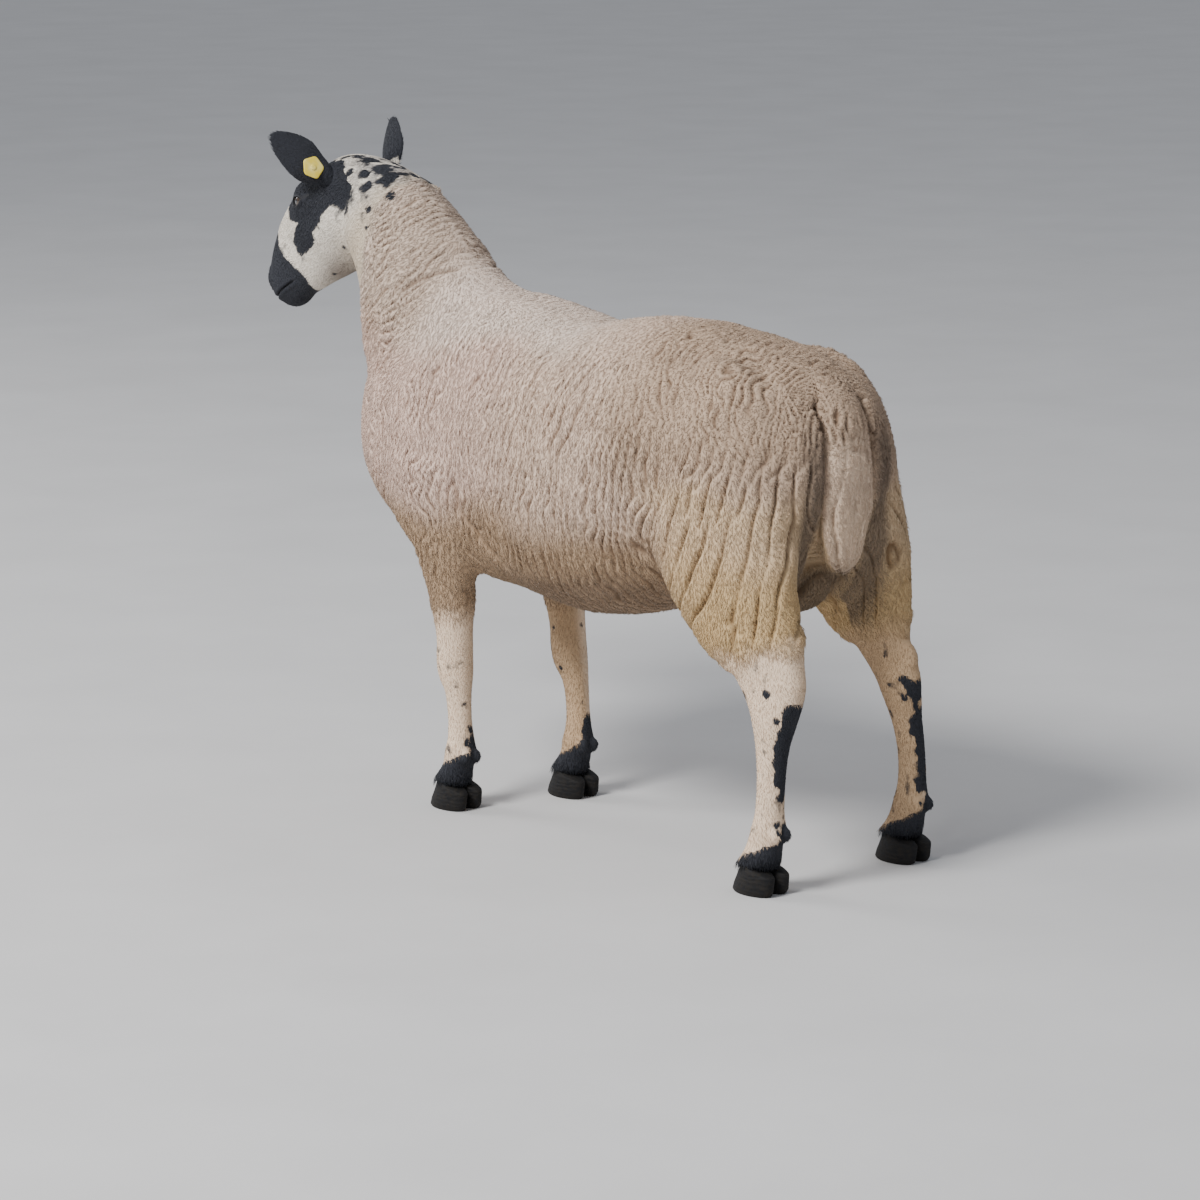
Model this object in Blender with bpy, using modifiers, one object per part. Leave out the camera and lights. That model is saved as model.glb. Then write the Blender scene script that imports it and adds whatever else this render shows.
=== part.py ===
"""A life-size standing sheep of a polled, speckle-faced mule type, as a still museum model.

The sheep faces -Y with its left side at +X and stands on z = 0. Lengths are metres.
The form is a set of lofts fused into one body, covered with fleece clumps, and parted into named pieces.
"""

import math
import random

import bmesh
import bpy
import numpy as np
from mathutils import Matrix, Vector
from mathutils.bvhtree import BVHTree

# Clearance between pieces that touch.
GAP = 0.0003

# The forms are laid out with the fore feet near y = -0.3. This is the middle of the whole sheep,
# which becomes the origin.
MIDDLE = (-0.001, -0.2223)

# Fleece: how far the clumps stand off the core and reach into it, and how large a clump is.
CLUMP_RELIEF = 0.011
CLUMP_ROOT = 0.007
CLUMP_LENGTH = 0.142
CLUMP_WIDTH = 0.086
CLUMP_VARIETY = 0.15
CLUMP_WAVE = 0.14
# A clump's outline at its root as shares of its length and width, and the rounded top over it.
CLUMP_OUTLINE = ((0.50, 0.00), (0.22, 0.40), (-0.22, 0.50), (-0.50, 0.00), (-0.22, -0.50), (0.22, -0.40))
CLUMP_TOP_SHARE = 0.60
CLUMP_TOP_BEND = 0.05
CLUMP_TOP_LEVEL = 0.78
CLUMP_SPACING = 0.80
CLUMP_TRIES = 9000
CLUMP_SEED = 13
# Smaller clumps on the second thighs, the upper fore legs and the neck.
LEG_CLUMP_SCALE = 0.72
LEG_CLUMP_BELOW = 0.42
LEG_CLUMP_BEYOND = 0.06
NECK_CLUMP_SCALE = 0.82
# No clumps in front of the head's cut, at the ends of the woolly legs or in the middle of the belly.
CLUMPS_START_BEHIND_HEAD = 0.012
CLUMPS_END_ABOVE = 0.300
BELLY_NORMAL_Z = -0.72
BELLY_HALF_WIDTH = 0.05
# The fleece lies down the sides, round the neck, and fans out over the thighs from a hub.
LIE_DOWN = Vector((0.0, 0.12, -1.0))
NECK_FROM_Y = -0.38
NECK_FROM_Z = 0.58
NECK_RUN = Vector((0.0, -0.72, 0.69))
THIGH_FROM_Y = 0.08
THIGH_BELOW_Z = 0.60
THIGH_HUB = Vector((0.0, 0.16, 0.74))
THIGH_DROOP = Vector((0.0, 0.10, -0.35))
LIE_SCATTER = 0.12
BACK_SCATTER = 0.65
BACK_FROM_Y = -0.15
BACK_ABOVE_Z = 0.62
WOOL_VOXEL = 0.010
CORE_TRIANGLES = 820

# Torso, out to the tips of the coat: y, top z, bottom z, half width, z of the widest point.
TORSO_STATIONS = (
    (0.338, 0.598, 0.520, 0.045, 0.560),
    (0.320, 0.645, 0.470, 0.098, 0.560),
    (0.285, 0.680, 0.432, 0.132, 0.556),
    (0.230, 0.704, 0.402, 0.150, 0.552),
    (0.150, 0.719, 0.378, 0.166, 0.548),
    (0.080, 0.727, 0.348, 0.178, 0.540),
    (0.010, 0.729, 0.318, 0.187, 0.520),
    (-0.070, 0.721, 0.302, 0.189, 0.510),
    (-0.130, 0.708, 0.303, 0.183, 0.508),
    (-0.220, 0.727, 0.312, 0.168, 0.505),
    (-0.300, 0.738, 0.318, 0.157, 0.505),
    (-0.380, 0.730, 0.332, 0.150, 0.510),
    (-0.450, 0.706, 0.360, 0.140, 0.515),
    (-0.505, 0.670, 0.400, 0.118, 0.520),
    (-0.542, 0.620, 0.445, 0.082, 0.525),
    (-0.558, 0.570, 0.490, 0.040, 0.525),
)
TORSO_SQUARENESS = 2.3

# Neck, out to the tips of the coat: crest y and z, throat y and z, half width.
NECK_STATIONS = (
    (-0.270, 0.726, -0.508, 0.470, 0.130),
    (-0.350, 0.750, -0.552, 0.530, 0.120),
    (-0.405, 0.790, -0.565, 0.590, 0.107),
    (-0.450, 0.829, -0.577, 0.640, 0.094),
    (-0.492, 0.863, -0.588, 0.680, 0.083),
    (-0.535, 0.888, -0.600, 0.712, 0.075),
    (-0.585, 0.897, -0.620, 0.745, 0.066),
)
NECK_SQUARENESS = 2.0
# The core of the woolly forms lies this far inside the tips.
COAT_INSET = 0.009
LEG_INSET = 0.004
BARE_NECK_INSET = 0.006

# Muscle masses that fill out the torso: centre (for the left side) and radii.
SHOULDER_MASS = ((0.104, -0.348, 0.522), (0.052, 0.105, 0.165))
THIGH_MASS = ((0.090, 0.190, 0.535), (0.068, 0.122, 0.155))
BUTTOCK_MASS = ((0.074, 0.236, 0.505), (0.054, 0.078, 0.145))
GROIN_MASS = ((0.0, 0.195, 0.395), (0.062, 0.085, 0.045))

# Upper fore leg in wool: z, x, y, half length fore and aft, half width.
FORE_WOOL_STATIONS = (
    (0.500, 0.116, -0.345, 0.088, 0.052),
    (0.430, 0.112, -0.338, 0.070, 0.047),
    (0.370, 0.104, -0.334, 0.054, 0.041),
    (0.315, 0.098, -0.333, 0.040, 0.034),
    (0.282, 0.094, -0.333, 0.033, 0.030),
)
# Bare fore leg, from inside the wool to the coronet.
FORE_LEG_STATIONS = (
    (0.340, 0.099, -0.333, 0.034, 0.029),
    (0.285, 0.094, -0.333, 0.0300, 0.0270),
    (0.245, 0.091, -0.333, 0.0265, 0.0250),
    (0.215, 0.089, -0.335, 0.0262, 0.0258),
    (0.192, 0.088, -0.334, 0.0245, 0.0245),
    (0.168, 0.088, -0.329, 0.0195, 0.0188),
    (0.130, 0.087, -0.327, 0.0178, 0.0165),
    (0.102, 0.086, -0.326, 0.0195, 0.0185),
    (0.083, 0.086, -0.327, 0.0228, 0.0222),
    (0.064, 0.086, -0.331, 0.0228, 0.0218),
    (0.050, 0.086, -0.338, 0.0252, 0.0238),
    (0.036, 0.086, -0.344, 0.0279, 0.0256),
)
# Thigh and second thigh in wool.
HIND_WOOL_STATIONS = (
    (0.600, 0.086, 0.185, 0.112, 0.062),
    (0.520, 0.096, 0.190, 0.126, 0.066),
    (0.450, 0.106, 0.206, 0.122, 0.061),
    (0.400, 0.114, 0.224, 0.106, 0.053),
    (0.350, 0.119, 0.248, 0.084, 0.044),
    (0.312, 0.121, 0.270, 0.066, 0.036),
    (0.290, 0.122, 0.288, 0.054, 0.031),
)
# Bare hind leg, from inside the wool to the coronet.
HIND_LEG_STATIONS = (
    (0.345, 0.120, 0.262, 0.066, 0.036),
    (0.308, 0.121, 0.284, 0.0540, 0.0305),
    (0.280, 0.121, 0.304, 0.0480, 0.0265),
    (0.255, 0.121, 0.314, 0.0400, 0.0255),
    (0.228, 0.120, 0.315, 0.0315, 0.0245),
    (0.195, 0.120, 0.313, 0.0240, 0.0200),
    (0.150, 0.120, 0.311, 0.0205, 0.0175),
    (0.110, 0.120, 0.309, 0.0205, 0.0188),
    (0.088, 0.120, 0.307, 0.0240, 0.0225),
    (0.066, 0.120, 0.301, 0.0258, 0.0220),
    (0.050, 0.120, 0.295, 0.0285, 0.0242),
    (0.036, 0.120, 0.287, 0.0305, 0.0260),
)
# How far each foot stands from the place in the tables: x outward and y.
FOOT_SHIFT = {
    ("fore", 1): (0.000, -0.002),
    ("fore", -1): (-0.002, 0.060),
    ("hind", 1): (0.000, 0.000),
    ("hind", -1): (0.024, 0.012),
}
FOOT_SHIFT_TOP = 0.46
# How each hind leg stands off its tables about the hock: x outward, y, growth, height and reach.
HOCK_SHIFT = {
    ("hind", 1): (-0.008, 0.006, 0.010, 0.325, 0.060),
    ("hind", -1): (-0.010, -0.014, -0.003, 0.275, 0.085),
}
NO_SHIFT = (0.0, 0.0, 0.0, 0.0, 1.0)

# Hooves: each foot has two claws.
CLAW_LENGTH = 0.070
CLAW_WIDTH = 0.0265
CLAW_HEIGHT = 0.043
CLAW_HEEL_HEIGHT = 0.027
CLAW_TOE_SPLAY = math.radians(4)
CLAW_CLEFT = 0.0030
# Outline of one claw seen from above: share of the half length ahead, share of the width outward.
CLAW_OUTLINE = (
    (-1.00, 0.20), (-0.62, 0.00), (0.30, 0.00), (0.96, 0.10), (1.02, 0.28),
    (0.80, 0.62), (0.30, 0.94), (-0.25, 1.00), (-0.78, 0.80), (-1.02, 0.50),
)
# Rings of a claw: share of its height, growth of its outline, lean back.
CLAW_RINGS = ((0.0, 1.0, 0.0), (0.10, 1.06, 0.002), (0.55, 0.97, 0.008), (1.3, 0.84, 0.016))
DEWCLAW_RADII = (0.0062, 0.0078, 0.0105)
DEWCLAW_APART = 0.0105
DEWCLAW_BACK_SHARE = 0.92
DEWCLAW_LOWER = 0.006
HOCK_POINT = (0.120, 0.332, 0.281)
HOCK_RADII = (0.0150, 0.0200, 0.0260)
LEG_ROWS = 15
LEG_SIDES = 12

# Tail: y, z of the middle, half width, half thickness.
TAIL_STATIONS = (
    (0.262, 0.662, 0.036, 0.024),
    (0.296, 0.646, 0.039, 0.025),
    (0.318, 0.612, 0.042, 0.024),
    (0.326, 0.565, 0.044, 0.023),
    (0.326, 0.515, 0.043, 0.022),
    (0.322, 0.470, 0.038, 0.021),
    (0.320, 0.438, 0.028, 0.017),
    (0.319, 0.420, 0.012, 0.009),
)

# The hollow of the rump that the tail hangs in is this much wider than the tail on each side.
TAIL_POCKET = 0.010
TAIL_POCKET_REACH = 0.05
TAIL_CLUMP_SCALE = 0.52
TAIL_CLUMP_APART = 0.045
TAIL_CLUMP_TRIES = 500

# Head frame: the crown, the turn to the left and the slope of the face.
CROWN = Vector((0.0, -0.674, 0.8930))
HEAD_TURN = math.radians(5)
FACE_SLOPE = math.radians(50.5)
# The face in front of this distance along is longer than the tables by this much.
FACE_STRETCH_FROM = 0.05
FACE_STRETCH = 1.08
# Head: distances from the crown along the face and above it, for the top line and the jaw line,
# then half width, share of the depth above the widest point, and squareness.
HEAD_STATIONS = (
    ((-0.071, -0.122), (-0.055, -0.180), 0.046, 0.45, 2.0),
    ((-0.046, -0.056), (-0.025, -0.168), 0.053, 0.42, 2.1),
    ((-0.018, -0.015), (0.012, -0.160), 0.054, 0.38, 2.2),
    ((0.015, 0.002), (0.048, -0.150), 0.055, 0.33, 2.3),
    ((0.048, 0.009), (0.078, -0.138), 0.056, 0.30, 2.3),
    ((0.080, 0.017), (0.106, -0.125), 0.052, 0.32, 2.3),
    ((0.108, 0.022), (0.130, -0.113), 0.044, 0.38, 2.2),
    ((0.136, 0.022), (0.151, -0.102), 0.037, 0.42, 2.2),
    ((0.163, 0.015), (0.172, -0.092), 0.0335, 0.46, 2.2),
    ((0.187, 0.004), (0.190, -0.083), 0.0315, 0.48, 2.3),
    ((0.205, -0.008), (0.205, -0.079), 0.0300, 0.50, 2.3),
    ((0.217, -0.019), (0.218, -0.074), 0.0245, 0.50, 2.2),
)
# Soft swellings and hollows of the head: place along, above, to the side, reach, height.
HEAD_RELIEF = (
    ("brow", (0.058, 0.003, 0.047), 0.022, 0.0090),
    ("orbit", (0.068, -0.018, 0.053), 0.024, 0.0040),
    ("cheekbone", (0.100, -0.042, 0.046), 0.026, 0.0030),
    ("cheek", (0.045, -0.088, 0.048), 0.040, 0.0060),
    ("temple", (0.022, -0.012, 0.050), 0.020, -0.0030),
    ("nose side", (0.140, -0.028, 0.035), 0.028, -0.0030),
    ("nostril wing", (0.208, -0.024, 0.022), 0.014, 0.0035),
    ("upper lip", (0.200, -0.046, 0.027), 0.018, 0.0030),
    ("chin", (0.206, -0.078, 0.000), 0.018, 0.0040),
)
HEAD_VOXEL = 0.0035
HEAD_TRIANGLES = 1080
EYE_RADIUS = 0.0150
EYE_PLACE = (0.0665, -0.0160, 0.0430)
EYE_TILT = math.radians(-26)
LID_THICKNESS = 0.0026
LID_OPENING_LENGTH = 0.0245
LID_OPENING_HEIGHT = 0.0130
MOUTH_CORNER = (0.172, -0.059)
MOUTH_FRONT = (0.226, -0.045)
MOUTH_GROOVE = 0.0017
MOUTH_CURVE = 0.0025
# Cuts of a nostril: places along, above and to the side, and the radius of the groove.
NOSTRIL_TRACKS = (
    ("nostril",
     ((0.221, -0.034, 0.0075), (0.219, -0.026, 0.0120), (0.213, -0.019, 0.0170), (0.206, -0.015, 0.0205)),
     0.0046),
    ("wing_crease", ((0.214, -0.037, 0.0165), (0.208, -0.033, 0.0215), (0.201, -0.028, 0.0250)), 0.0012),
)
LIP_GROOVE_LEVELS = (-0.022, -0.030, -0.037, -0.043)

# Ears: length, widths and the direction each one points.
EAR_LENGTH = 0.112
EAR_HALF_WIDTH = 0.034
EAR_WALL = 0.0032
EAR_WIDEST = 0.38
EAR_ROOT_PLACE = {1: (0.000, -0.045, 0.0445), -1: (-0.014, -0.047, 0.0445)}
EAR_BEND = 0.012
# Bearing from straight ahead towards the left, and rise, of each ear.
EAR_AIM = {1: (math.radians(60), math.radians(38)), -1: (math.radians(-40), math.radians(36))}
# The way the hollow of each ear faces before it is squared to the ear. The right ear is turned back.
EAR_HOLLOW = {1: Vector((-0.40, -0.80, -0.45)), -1: Vector((-0.80, 0.10, 0.00))}

# Ear tag: a rounded five-sided plate outside the left ear, a round back plate and a pin.
TAG_RADIUS = 0.0168
TAG_THICKNESS = 0.0016
TAG_PIN_RADIUS = 0.0024
TAG_ALONG = 0.35
TAG_ACROSS = 0.008
TAG_SIDES = 5
TAG_CORNER = 0.0060
# How far the tag's corner is turned from the ear's root end, so that it hangs down.
TAG_TURN = math.radians(35)
TAG_BUTTON_RADIUS = 0.0125

# Planes and regions that part the body.
HEAD_CUT_POINT = Vector((0.0, -0.530, 0.880))
HEAD_CUT_NORMAL = Vector((0.0, -0.9806, 0.1961))
NECK_CUT_POINT = Vector((0.0, -0.400, 0.680))
NECK_CUT_NORMAL = Vector((0.0, -0.7071, 0.7071))
RUMP_CUT_Y = 0.062
FORE_LEG_REGION = {"y": (-0.470, -0.185), "inner_x": 0.042, "corner": (0.072, 0.362), "slope": 0.56}
HIND_LEG_REGION = {"y": (0.090, 0.450), "inner_x": 0.040, "corner": (0.062, 0.402), "slope": 0.50}

SHARP_EDGE = math.radians(50)

COLOURS = {
    "fleece": (0.62, 0.52, 0.42),
    "face": (0.70, 0.66, 0.60),
    "black_hair": (0.03, 0.03, 0.035),
    "leg_hair": (0.66, 0.58, 0.46),
    "hoof": (0.035, 0.032, 0.03),
    "eye": (0.10, 0.06, 0.03),
    "tag": (0.85, 0.72, 0.12),
}
ROUGHNESS = {
    "fleece": 0.95,
    "face": 0.85,
    "black_hair": 0.80,
    "leg_hair": 0.85,
    "hoof": 0.50,
    "eye": 0.12,
    "tag": 0.40,
}


def clear_scene():
    for obj in list(bpy.data.objects):
        bpy.data.objects.remove(obj)


def new_collection(name):
    collection = bpy.data.collections.new(name)
    bpy.context.scene.collection.children.link(collection)
    return collection


def plain_material(name, colour, roughness, metallic=0.0):
    material = bpy.data.materials.new(name)
    material.use_nodes = True
    shader = material.node_tree.nodes["Principled BSDF"]
    shader.inputs["Base Color"].default_value = (*colour, 1.0)
    shader.inputs["Roughness"].default_value = roughness
    shader.inputs["Metallic"].default_value = metallic
    return material


def object_from_bmesh(name, bm, collection):
    mesh = bpy.data.meshes.new(name)
    bm.to_mesh(mesh)
    bm.free()
    obj = bpy.data.objects.new(name, mesh)
    collection.objects.link(obj)
    return obj


def baked(obj):
    """The object's mesh with its modifiers applied, in place."""
    bpy.context.view_layer.update()
    graph = bpy.context.evaluated_depsgraph_get()
    mesh = bpy.data.meshes.new_from_object(obj.evaluated_get(graph))
    obj.modifiers.clear()
    old = obj.data
    obj.data = mesh
    bpy.data.meshes.remove(old)
    return obj


def copy_of(obj, name, collection):
    twin = bpy.data.objects.new(name, obj.data.copy())
    collection.objects.link(twin)
    return twin


def smooth_curve(rows, count):
    """Rows of numbers blended along a smooth curve through them, as count rows."""
    rows = np.asarray(rows, float)
    steps = np.linalg.norm(np.diff(rows[:, :2], axis=0), axis=1)
    knots = np.concatenate([[0.0], np.cumsum(steps)])
    slopes = np.empty_like(rows)
    slopes[1:-1] = (rows[2:] - rows[:-2]) / (knots[2:] - knots[:-2])[:, None]
    slopes[0] = (rows[1] - rows[0]) / (knots[1] - knots[0])
    slopes[-1] = (rows[-1] - rows[-2]) / (knots[-1] - knots[-2])
    places = np.linspace(0, knots[-1], count)
    index = np.clip(np.searchsorted(knots, places, side="right") - 1, 0, len(rows) - 2)
    span = (knots[index + 1] - knots[index])[:, None]
    t = ((places - knots[index])[:, None]) / span
    a, b = rows[index], rows[index + 1]
    ta, tb = slopes[index] * span, slopes[index + 1] * span
    return (
        (2 * t**3 - 3 * t**2 + 1) * a
        + (t**3 - 2 * t**2 + t) * ta
        + (-2 * t**3 + 3 * t**2) * b
        + (t**3 - t**2) * tb
    )


def ring(centre, across, upward, half_width, above, below, squareness, sides):
    """A closed rounded section: half_width to each side, above and below the centre."""
    angles = np.arange(sides) * 2 * math.pi / sides
    c, s = np.cos(angles), np.sin(angles)
    x = half_width * np.sign(c) * np.abs(c) ** (2 / squareness)
    y = np.where(s > 0, above, below) * np.sign(s) * np.abs(s) ** (2 / squareness)
    return np.asarray(centre) + x[:, None] * np.asarray(across) + y[:, None] * np.asarray(upward)


def loft(name, rings, collection):
    """A closed skin through rings of equal count, with each end closed on its middle."""
    bm = bmesh.new()
    rows = [[bm.verts.new(Vector(p)) for p in r] for r in rings]
    sides = len(rows[0])
    for lower, upper in zip(rows[:-1], rows[1:]):
        for i in range(sides):
            j = (i + 1) % sides
            bm.faces.new((lower[i], lower[j], upper[j], upper[i]))
    for row, points in ((rows[0][::-1], rings[0]), (rows[-1], rings[-1])):
        middle = bm.verts.new(Vector(np.mean(points, axis=0)))
        for i in range(sides):
            bm.faces.new((row[i], row[(i + 1) % sides], middle))
    bmesh.ops.recalc_face_normals(bm, faces=bm.faces)
    return object_from_bmesh(name, bm, collection)


def ellipsoid(name, centre, radii, collection, segments=24, rings=14):
    bm = bmesh.new()
    bmesh.ops.create_uvsphere(bm, u_segments=segments, v_segments=rings, radius=1.0)
    place = Matrix.Translation(centre) @ Matrix.Diagonal((*radii, 1.0))
    bmesh.ops.transform(bm, matrix=place, verts=bm.verts)
    return object_from_bmesh(name, bm, collection)


def joined(name, objects, collection):
    bm = bmesh.new()
    for obj in objects:
        bm.from_mesh(obj.data)
        bpy.data.objects.remove(obj)
    return object_from_bmesh(name, bm, collection)


def fused(name, objects, voxel, smoothing, collection):
    """One smooth closed skin round several overlapping closed forms."""
    obj = joined(name, objects, collection)
    remesh = obj.modifiers.new("fuse", "REMESH")
    remesh.mode = "VOXEL"
    remesh.voxel_size = voxel
    soften = obj.modifiers.new("soften", "SMOOTH")
    soften.factor = 0.5
    soften.iterations = smoothing
    return baked(obj)


def thinned(obj, triangles):
    """The object with about this many triangles."""
    now = sum(len(p.vertices) - 2 for p in obj.data.polygons)
    thin = obj.modifiers.new("thin", "DECIMATE")
    thin.ratio = min(1.0, triangles / now)
    thin.use_collapse_triangulate = True
    return baked(obj)


def combined(obj, others, operation, solver="MANIFOLD"):
    """The object joined with, or cut by, others, which are removed."""
    scratch = bpy.data.collections.new("operands")
    bpy.context.scene.collection.children.link(scratch)
    for other in others:
        for home in list(other.users_collection):
            home.objects.unlink(other)
        scratch.objects.link(other)
    modifier = obj.modifiers.new("combine", "BOOLEAN")
    modifier.operation = operation
    modifier.solver = solver
    if len(others) == 1:
        modifier.object = others[0]
    else:
        modifier.operand_type = "COLLECTION"
        modifier.collection = scratch
    baked(obj)
    for other in list(scratch.objects):
        bpy.data.objects.remove(other)
    bpy.data.collections.remove(scratch)
    return obj


def islands(bm):
    """The connected sets of faces of a mesh."""
    left = set(bm.faces)
    found = []
    while left:
        seed = left.pop()
        group, stack = {seed}, [seed]
        while stack:
            face = stack.pop()
            for edge in face.edges:
                for near in edge.link_faces:
                    if near in left:
                        left.remove(near)
                        group.add(near)
                        stack.append(near)
        found.append(group)
    return found


def largest_body(obj):
    """The object with only its largest closed surface."""
    bm = bmesh.new()
    bm.from_mesh(obj.data)
    groups = sorted(islands(bm), key=lambda g: sum(f.calc_area() for f in g))
    loose = {v for g in groups[:-1] for f in g for v in f.verts}
    bmesh.ops.delete(bm, geom=list(loose), context="VERTS")
    bm.to_mesh(obj.data)
    bm.free()
    return obj


def half_space(name, point, normal, offset, collection, reach=1.5):
    """A large block that fills the side of a plane that the normal points to."""
    bm = bmesh.new()
    bmesh.ops.create_cube(bm, size=2 * reach)
    turn = Vector((0, 0, 1)).rotation_difference(normal).to_matrix().to_4x4()
    middle = point + normal.normalized() * (reach + offset)
    bmesh.ops.transform(bm, matrix=Matrix.Translation(middle) @ turn, verts=bm.verts)
    return object_from_bmesh(name, bm, collection)


def grown(obj, distance, name, collection):
    """A copy of the object with its surface moved out."""
    twin = copy_of(obj, name, collection)
    bm = bmesh.new()
    bm.from_mesh(twin.data)
    bm.normal_update()
    moved = [(v, v.co + v.normal * distance * v.calc_shell_factor()) for v in bm.verts]
    for vert, place in moved:
        vert.co = place
    bm.to_mesh(twin.data)
    bm.free()
    return twin


def head_axes():
    """Unit vectors along the face, above it and to the sheep's left."""
    ahead = Vector((math.sin(HEAD_TURN), -math.cos(HEAD_TURN), 0.0))
    up = Vector((0.0, 0.0, 1.0))
    along = ahead * math.cos(FACE_SLOPE) - up * math.sin(FACE_SLOPE)
    above = ahead * math.sin(FACE_SLOPE) + up * math.cos(FACE_SLOPE)
    left = Vector((math.cos(HEAD_TURN), math.sin(HEAD_TURN), 0.0))
    return along, above, left


def head_point(along, above, side=0.0):
    a, u, l = head_axes()
    reach = along + max(0.0, along - FACE_STRETCH_FROM) * (FACE_STRETCH - 1.0)
    return CROWN + a * reach + u * above + l * side


def torso_form(collection):
    rows = smooth_curve(TORSO_STATIONS, 36)
    rings = []
    for y, top, bottom, half_width, widest in rows:
        rings.append(ring((0, y, widest), (1, 0, 0), (0, 0, 1), half_width - COAT_INSET,
                          top - widest - COAT_INSET, widest - bottom - COAT_INSET, TORSO_SQUARENESS, 32))
    return loft("torso_form", rings, collection)


def neck_form(collection, inset=COAT_INSET, first=0):
    rings = []
    for crest_y, crest_z, throat_y, throat_z, half_width in smooth_curve(NECK_STATIONS[first:], 16):
        crest, throat = np.array((0, crest_y, crest_z)), np.array((0, throat_y, throat_z))
        depth = np.linalg.norm(crest - throat)
        axis = (crest - throat) / depth
        half_depth = depth / 2 - inset
        rings.append(ring((crest + throat) / 2, (1, 0, 0), axis, half_width - inset,
                          half_depth, half_depth, NECK_SQUARENESS, 28))
    return loft("neck_form", rings, collection)


def foot_shift(kind, side, z):
    """How far a leg leans from its table at this height."""
    outward, back = FOOT_SHIFT[kind, side]
    share = max(0.0, min(1.0, (FOOT_SHIFT_TOP - z) / (FOOT_SHIFT_TOP - 0.10)))
    share = share * share * (3 - 2 * share)
    hock_outward, hock_back, _, height, reach = HOCK_SHIFT.get((kind, side), NO_SHIFT)
    near = math.exp(-(((z - height) / reach) ** 2))
    return side * (outward * share + hock_outward * near), back * share + hock_back * near


def hock_growth(kind, side, z):
    """How much thicker a hind leg is than its tables at this height."""
    _, _, growth, height, reach = HOCK_SHIFT.get((kind, side), NO_SHIFT)
    return growth * math.exp(-(((z - height) / reach) ** 2))


def leg_form(name, stations, kind, side, count, sides, inset, collection):
    rings = []
    for z, x, y, length, width in smooth_curve(stations, count):
        dx, dy = foot_shift(kind, side, z)
        extra = hock_growth(kind, side, z) - inset
        rings.append(ring((side * x + dx, y + dy, z), (1, 0, 0), (0, 1, 0), width + extra,
                          length + extra, length + extra, 2.1, sides))
    return loft(name, rings, collection)


def head_form(collection, count=30, sides=32):
    """The head as a loft from the throat to the nose, in its own frame, then placed."""
    flat = [(t[0], t[1], j[0], j[1], w, share, sq) for t, j, w, share, sq in HEAD_STATIONS]
    rows = smooth_curve(flat, count)
    rings = []
    for ta, tu, ja, ju, width, share, squareness in rows:
        top, jaw = np.array((ta, tu)), np.array((ja, ju))
        depth = np.linalg.norm(top - jaw)
        axis = (top - jaw) / depth
        middle = top - axis * depth * share
        points = ring((middle[0], middle[1], 0), (0, 0, 1), (axis[0], axis[1], 0), width,
                      depth * share, depth * (1 - share), squareness, sides)
        rings.append(points)
    nose = rings[-1]
    for shrink, push in ((0.82, 0.0045), (0.52, 0.0075)):
        middle = nose.mean(axis=0)
        rings.append(middle + (nose - middle) * shrink + np.array((push, -0.2 * push, 0)))
    head = loft("head_form", rings, collection)
    shape_head(head)
    return head


def shape_head(head):
    """Moves the loft's points by the swellings and hollows, then sets the head in place."""
    mesh = head.data
    bm = bmesh.new()
    bm.from_mesh(mesh)
    bm.normal_update()
    places = {v: v.co.copy() for v in bm.verts}
    for vert in bm.verts:
        move = 0.0
        for _, (along, above, side), reach, height in HEAD_RELIEF:
            for sign in ((1, -1) if side else (1,)):
                away = (vert.co - Vector((along, above, sign * side))).length
                move += height * math.exp(-((away / reach) ** 2) * 1.5)
        places[vert] = vert.co + vert.normal * move
    for vert, place in places.items():
        vert.co = head_point(place.x, place.y, place.z)
    bmesh.ops.recalc_face_normals(bm, faces=bm.faces)
    bm.to_mesh(mesh)
    bm.free()


def mass(name, spec, side, collection):
    (x, y, z), radii = spec
    return ellipsoid(name, (side * x, y, z), radii, collection)


def wool_forms(collection):
    """All the forms that carry fleece, from the nape to the second thighs."""
    forms = [torso_form(collection), neck_form(collection), mass("groin", GROIN_MASS, 1, collection)]
    for side in (1, -1):
        forms.append(mass("shoulder", SHOULDER_MASS, side, collection))
        forms.append(mass("thigh", THIGH_MASS, side, collection))
        forms.append(mass("buttock", BUTTOCK_MASS, side, collection))
        forms.append(leg_form("fore_wool", FORE_WOOL_STATIONS, "fore", side, 14, 20, LEG_INSET, collection))
        forms.append(leg_form("hind_wool", HIND_WOOL_STATIONS, "hind", side, 16, 20, LEG_INSET, collection))
    return forms


def bare_leg(kind, side, collection):
    """The short-haired part of a leg down to the coronet, with its dewclaws."""
    stations = FORE_LEG_STATIONS if kind == "fore" else HIND_LEG_STATIONS
    leg = leg_form("bare_leg", stations, kind, side, LEG_ROWS, LEG_SIDES, 0.0, collection)
    z, x, y, length, _ = stations[-4]
    dx, dy = foot_shift(kind, side, z)
    pads = []
    for sign in (1, -1):
        centre = (side * x + dx + sign * DEWCLAW_APART, y + dy + length * DEWCLAW_BACK_SHARE,
                  z - DEWCLAW_LOWER)
        pads.append(ellipsoid("dewclaw", centre, DEWCLAW_RADII, collection, 8, 6))
    if kind == "hind":
        x, y, z = HOCK_POINT
        dx, dy = foot_shift(kind, side, z)
        pads.append(ellipsoid("point_of_hock", (side * x + dx, y + dy, z), HOCK_RADII, collection, 12, 8))
    return combined(leg, pads, "UNION")


def toe_place(kind, side):
    stations = FORE_LEG_STATIONS if kind == "fore" else HIND_LEG_STATIONS
    z, x, y, _, _ = stations[-1]
    dx, dy = foot_shift(kind, side, z)
    return Vector((side * x + dx, y + dy, 0.0))


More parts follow.
